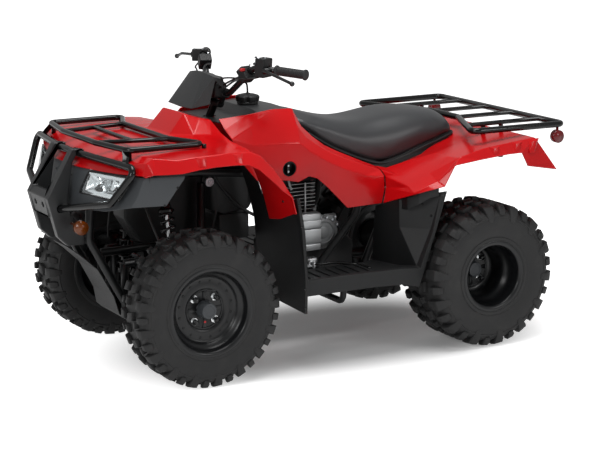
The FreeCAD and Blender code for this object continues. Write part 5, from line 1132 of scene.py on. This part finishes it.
for name, arm, thick, low, high in (
        ("change_pedal", [(-30, 176, 304), (-50, 196, 306), (-101, 205, 311), (-140, 214, 304),
                          (-176, 226, 299), (-183, 250, 300), (-183, 288, 300)], 4.6,
         (-190, 256, 294), (-176, 312, 306)),
        ("brake_pedal", [(60, -150, 300), (90, -196, 290), (140, -226, 300), (176, -250, 318)], 6.0,
         (158, -292, 314), (206, -236, 324))):
    pedal = merged(rod(mm(arm), thick), block(low, high, 4.0))
    piece(name, smooth(pedal, 40.0), CHASSIS, "black_steel")
pipe = rod(mm([(-20, 50, 628), (0, 70, 640), (22, 78, 622), (20, 72, 590), (4, 64, 566)]), 4.2)
piece("breather_pipe", smooth(pipe, 60.0), CHASSIS, "hub_steel", finishes=[machined_aluminium])

# Floor boards: raised ribs where the feet rest

RIBS = 8
RIB_START, RIB_STEP, RIB_WIDE = -170, 40, 14


def floor_ribs(sign):
    places = [RIB_START + RIB_STEP * step for step in range(RIBS)]
    bars = [block((x, 240, 299.0), (x + RIB_WIDE, 392, 304.5), 2.0, 2) for x in places]
    return put(merged(*bars), Vector((0, 0, 0)), sign < 0)


piece("floor_ribs", smooth(both_sides(floor_ribs)), CHASSIS, "black_plastic")

# Front rack's brackets: a bent strap at each side


def rack_bracket(sign):
    """A strap between three places, 22 mm or so wide and thin, from the rack down over the fender."""
    sections = [mm(sided([(x, y, z), (x + wide, y, z), (x + wide, y + 3, z + 2), (x, y + 3, z + 2)], sign))
                for x, wide, y, z in ((762, 22, 318, 812), (768, 24, 340, 792), (782, 22, 359, 766))]
    return rounded(loft(sections), 0.8)


piece("rack_brackets", smooth(both_sides(rack_bracket)), CHASSIS, "black_steel")

# Fuel cap's knob

KNOB_STEPS = 72
KNOB_SCOOPS = 6
KNOB_PLACE = (0.148, 0, 0.8832)
# Height, radius and depth of the scoops, in millimetres
KNOB = [(0, 36, 0), (2, 38, 0), (7, 38.5, 0), (9, 37.5, 1), (10, 41, 9), (22, 43.4, 9), (27, 43.2, 8),
        (31, 39, 6.5), (34, 31, 5), (36, 21, 3), (37, 12, 1), (38.5, 9, 0), (39.5, 6, 0), (39.6, 2, 0)]


def knob_ring(height, radius, scoop):
    """A ring of the cap's knob, scooped in at even places for the fingers."""
    ring = []
    for step in range(KNOB_STEPS):
        turn = 2 * math.pi * step / KNOB_STEPS
        out = radius - max(0.0, math.cos(KNOB_SCOOPS * turn)) ** 1.5 * scoop
        ring.append(Vector((out * math.cos(turn), out * math.sin(turn), height)) * MM)
    return ring


knob = put(as_mesh(loft([knob_ring(*values) for values in KNOB])), KNOB_PLACE)
piece("fuel_cap_knob", smooth(knob, 38.0), CHASSIS, "black_plastic", ["fuel_cap"])

# Handlebar: the meter's housing with its key barrel, the grips, the switches and screws of the controls

key = Vector((0.262, 0.030, 0.968))
barrel = turned_between(key, key + Vector((-0.6, 0.35, 0.7)), [
    (-14, 0), (-14, 15), (3, 15), (5, 13), (5, 8), (3, 7), (3, 0)])
boxes = [block((264, -56, 916), (312, 56, 978), 12.0), block((258, -30, 950), (300, 34, 992), 9.0)]
piece("meter_housing", smooth(merged(*boxes, barrel), 34.0), STEERING, "black_plastic")

GRIP_INNER, GRIP_OUTER = (225.4, 200.0, 1040.0), (123.4, 380.0, 1028.0)
GRIP_LONG = 119
GRIP_RIBS = 14
GRIP_RIB_STEP = 7.2


def grip(sign):
    """Soft rubber with round ribs and a flange at each end, on the bar's outer run."""
    inner, outer = mm(sided([GRIP_INNER, GRIP_OUTER], sign))
    start = outer - (outer - inner).normalized() * GRIP_LONG * MM
    outline = [(0, 11.6), (0, 18.5), (2, 19.6), (6, 19.2), (8, 16.4)]
    for rib in range(GRIP_RIBS):
        foot = 10 + rib * GRIP_RIB_STEP
        outline += [(foot, 14.6), (foot + 1.0, 15.9), (foot + 4.2, 15.9), (foot + 5.2, 14.6)]
    outline += [(113, 15.0), (116, 19.0), (121, 19.0), (124, 16.0), (125.5, 8.0), (125.6, 0), (122, 0)]
    return turned_between(start, outer, outline, 28)


piece("grips_ribbed", smooth(both_sides(grip), 40.0), STEERING, "grip_rubber", ["grips"])
switch_place, _ = on_node("controls_left", (262, 196, 1042))
switch = put(block((-9, -6, -5), (9, 6, 5), 3.0), switch_place)
piece("stop_switch", smooth(switch, 40.0), STEERING, "red_lens", finishes=[signal_red])
BUTTONS = [(270, 170, 1030), (262, 215, 1060), (240, 230, 1080)]
buttons = [on_node("controls_left", place) for place in BUTTONS]
heads("left_switch_buttons", buttons, 5.0, 5.0, STEERING, "black_plastic", grey_polypropylene, 16)
CONTROL_SCREWS = [(225, 160, 1090), (205, 240, 1090), (235, 250, 1090)]
spots = [on_node("controls_" + hand, place) for hand, sign in HANDS for place in sided(CONTROL_SCREWS, sign)]
heads("control_screws", spots, 3.2, 2.4, STEERING, "hub_steel", zinc_steel, 10)

# Cables and hoses: each has its body, its diameter and length and its route, in millimetres

BRAKE_HOSE = [(612, 88, 650), (618, 104, 632), (622, 130, 590), (616, 170, 530), (606, 214, 466),
              (596, 248, 420), (588, 262, 392)]
HOSES = [
    ("switch_cable", STEERING, 7.0, 180,
     [(240, 138, 1006), (252, 122, 998), (268, 100, 984), (284, 72, 968), (290, 44, 948), (286, 22, 926),
      (278, 8, 905)]),
    ("left_brake_cable", STEERING, 6.0, 290,
     [(222, 236, 1012), (238, 226, 1006), (262, 192, 1000), (282, 142, 1002), (300, 92, 996), (306, 52, 972),
      (298, 24, 940), (286, 6, 915)]),
    ("throttle_cable", STEERING, 6.0, 191,
     [(232, -128, 1018), (254, -108, 1022), (282, -82, 1014), (300, -50, 990), (300, -22, 955),
      (288, -6, 925)]),
    ("right_brake_cable", STEERING, 6.0, 286,
     [(222, -236, 1012), (238, -226, 1006), (262, -192, 1000), (282, -142, 1004), (300, -96, 1000),
      (308, -60, 976), (300, -32, 945), (288, -10, 918)]),
    ("fuel_cap_breather", CHASSIS, 7.0, 152,
     [(148, 0, 922), (149, 2, 938), (156, 10, 958), (178, 22, 976), (206, 26, 976), (230, 20, 962),
      (250, 10, 944)]),
    ("left_brake_hose", CHASSIS, 8.0, 315, BRAKE_HOSE),
    ("right_brake_hose", CHASSIS, 8.0, 315, sided(BRAKE_HOSE, -1)),
]
for name, body, diameter, length, places in HOSES:
    hose = tube(name, mm(places), diameter / 2, sides=4, steps=16)
    hose.data.materials.append(grip_rubber)
    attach(hose, body)

# The model's own nodes get their finishes too, where a piece doesn't stand for them
for name, thing in frame["nodes"].items():
    for held in thing.material_slots:
        if held.material and held.material.name.split(".")[0] in SLOT_FINISH:
            held.material = SLOT_FINISH[held.material.name.split(".")[0]]

# Camera, light and floor

CAMERA_PLACE = (3.2771, 5.9589, 1.8720)
CAMERA_AIM = (-0.0749, 0.0, 0.41275)


def aimed(thing, place, aim):
    """Stands a camera or lamp at a place and turns it to a point."""
    thing.location = place
    thing.rotation_mode = "QUATERNION"
    thing.rotation_quaternion = (Vector(aim) - Vector(place)).to_track_quat("-Z", "Y")


camera_data = bpy.data.cameras.new("studio_camera")
camera_data.sensor_width = 36.0
camera_data.lens = 113.34
camera_data.shift_x = -0.0027
camera_data.shift_y = 0.0004
camera = placed("studio_camera", camera_data)
aimed(camera, CAMERA_PLACE, CAMERA_AIM)
bpy.context.scene.camera = camera


def soft_lamp(name, place, aim, size, watts):
    """A square studio softbox that looks at a point of the vehicle."""
    data = bpy.data.lights.new(name, "AREA")
    data.size = size
    data.energy = watts
    aimed(placed(name, data), place, aim)


soft_lamp("overhead_softbox", (0.1, 0.5, 4.0), (0.0, 0.0, 0.5), 2.2, 100)
soft_lamp("front_softbox", (4.2, 2.6, 2.6), (0.2, 0.0, 0.4), 1.5, 58)
soft_lamp("side_softbox", (-2.6, 4.6, 2.6), (-0.3, 0.0, 0.4), 1.5, 48)


def seen_share(tree, reflected, *rays):
    """1 for the named rays, and for a reflection a share of it, as the room behind the camera dims it."""
    def both(first, second, operation):
        return add(tree, "ShaderNodeMath", {0: first, 1: second}, operation=operation).outputs[0]

    ray = add(tree, "ShaderNodeLightPath").outputs
    seen = both(ray["Is Glossy Ray"], reflected, "MULTIPLY")
    for name in rays:
        seen = both(ray[name], seen, "MAXIMUM")
    return seen


world = bpy.data.worlds.new("studio_world")
bpy.context.scene.world = world
world.use_nodes = True
sky = world.node_tree
seen = seen_share(sky, 0.15, "Is Camera Ray", "Is Transmission Ray")
level = add(sky, "ShaderNodeMapRange", {"Value": seen, "To Min": 0.3, "To Max": 1.0})
sky.links.new(level.outputs["Result"], sky.nodes["Background"].inputs["Strength"])
sky.nodes["Background"].inputs["Color"].default_value = linear("#ffffff")

bpy.context.scene.view_settings.view_transform = "Standard"

FLOOR_HALF = 30.0
# White studio paper: matt, and brighter to the camera outside an elliptic patch round the vehicle, where its
# glow is dimmed as a painted shadow.
paper = bpy.data.materials.new("studio_paper_matt")
paper.use_nodes = True
sheet = paper.node_tree
board = sheet.nodes["Principled BSDF"]
board.inputs["Roughness"].default_value = 0.9
board.inputs["Base Color"].default_value = linear("#ececec")
board.inputs["Emission Color"].default_value = linear("#ffffff")
painted_shadow_oval = add(sheet, "ShaderNodeMapping", {"Vector": add(sheet, "ShaderNodeTexCoord").outputs["Object"],
                                        "Location": (0.17, -0.17, 0.0), "Scale": (1.1, 1.65, 1.0)})
away = add(sheet, "ShaderNodeVectorMath", {0: painted_shadow_oval.outputs["Vector"]}, operation="LENGTH")
# The glow falls to 0.08 near the vehicle: a painted shadow under and round it
reach = add(sheet, "ShaderNodeMapRange", {"Value": away.outputs["Value"], "From Min": 0.55, "From Max": 1.2,
                                          "To Min": 0.08, "To Max": 1.0},
            interpolation_type="SMOOTHSTEP")
lift = add(sheet, "ShaderNodeMath", {0: seen_share(sheet, 0.42, "Is Camera Ray"), 1: reach.outputs["Result"]},
           operation="MULTIPLY")
sheet.links.new(lift.outputs[0], board.inputs["Emission Strength"])
floor_mesh = bpy.data.meshes.new("studio_floor")
corners = [(x * FLOOR_HALF, y * FLOOR_HALF, 0) for x, y in ((-1, -1), (1, -1), (1, 1), (-1, 1))]
floor_mesh.from_pydata(corners, [], [(0, 1, 2, 3)])
floor_mesh.materials.append(paper)
placed("studio_floor", floor_mesh)
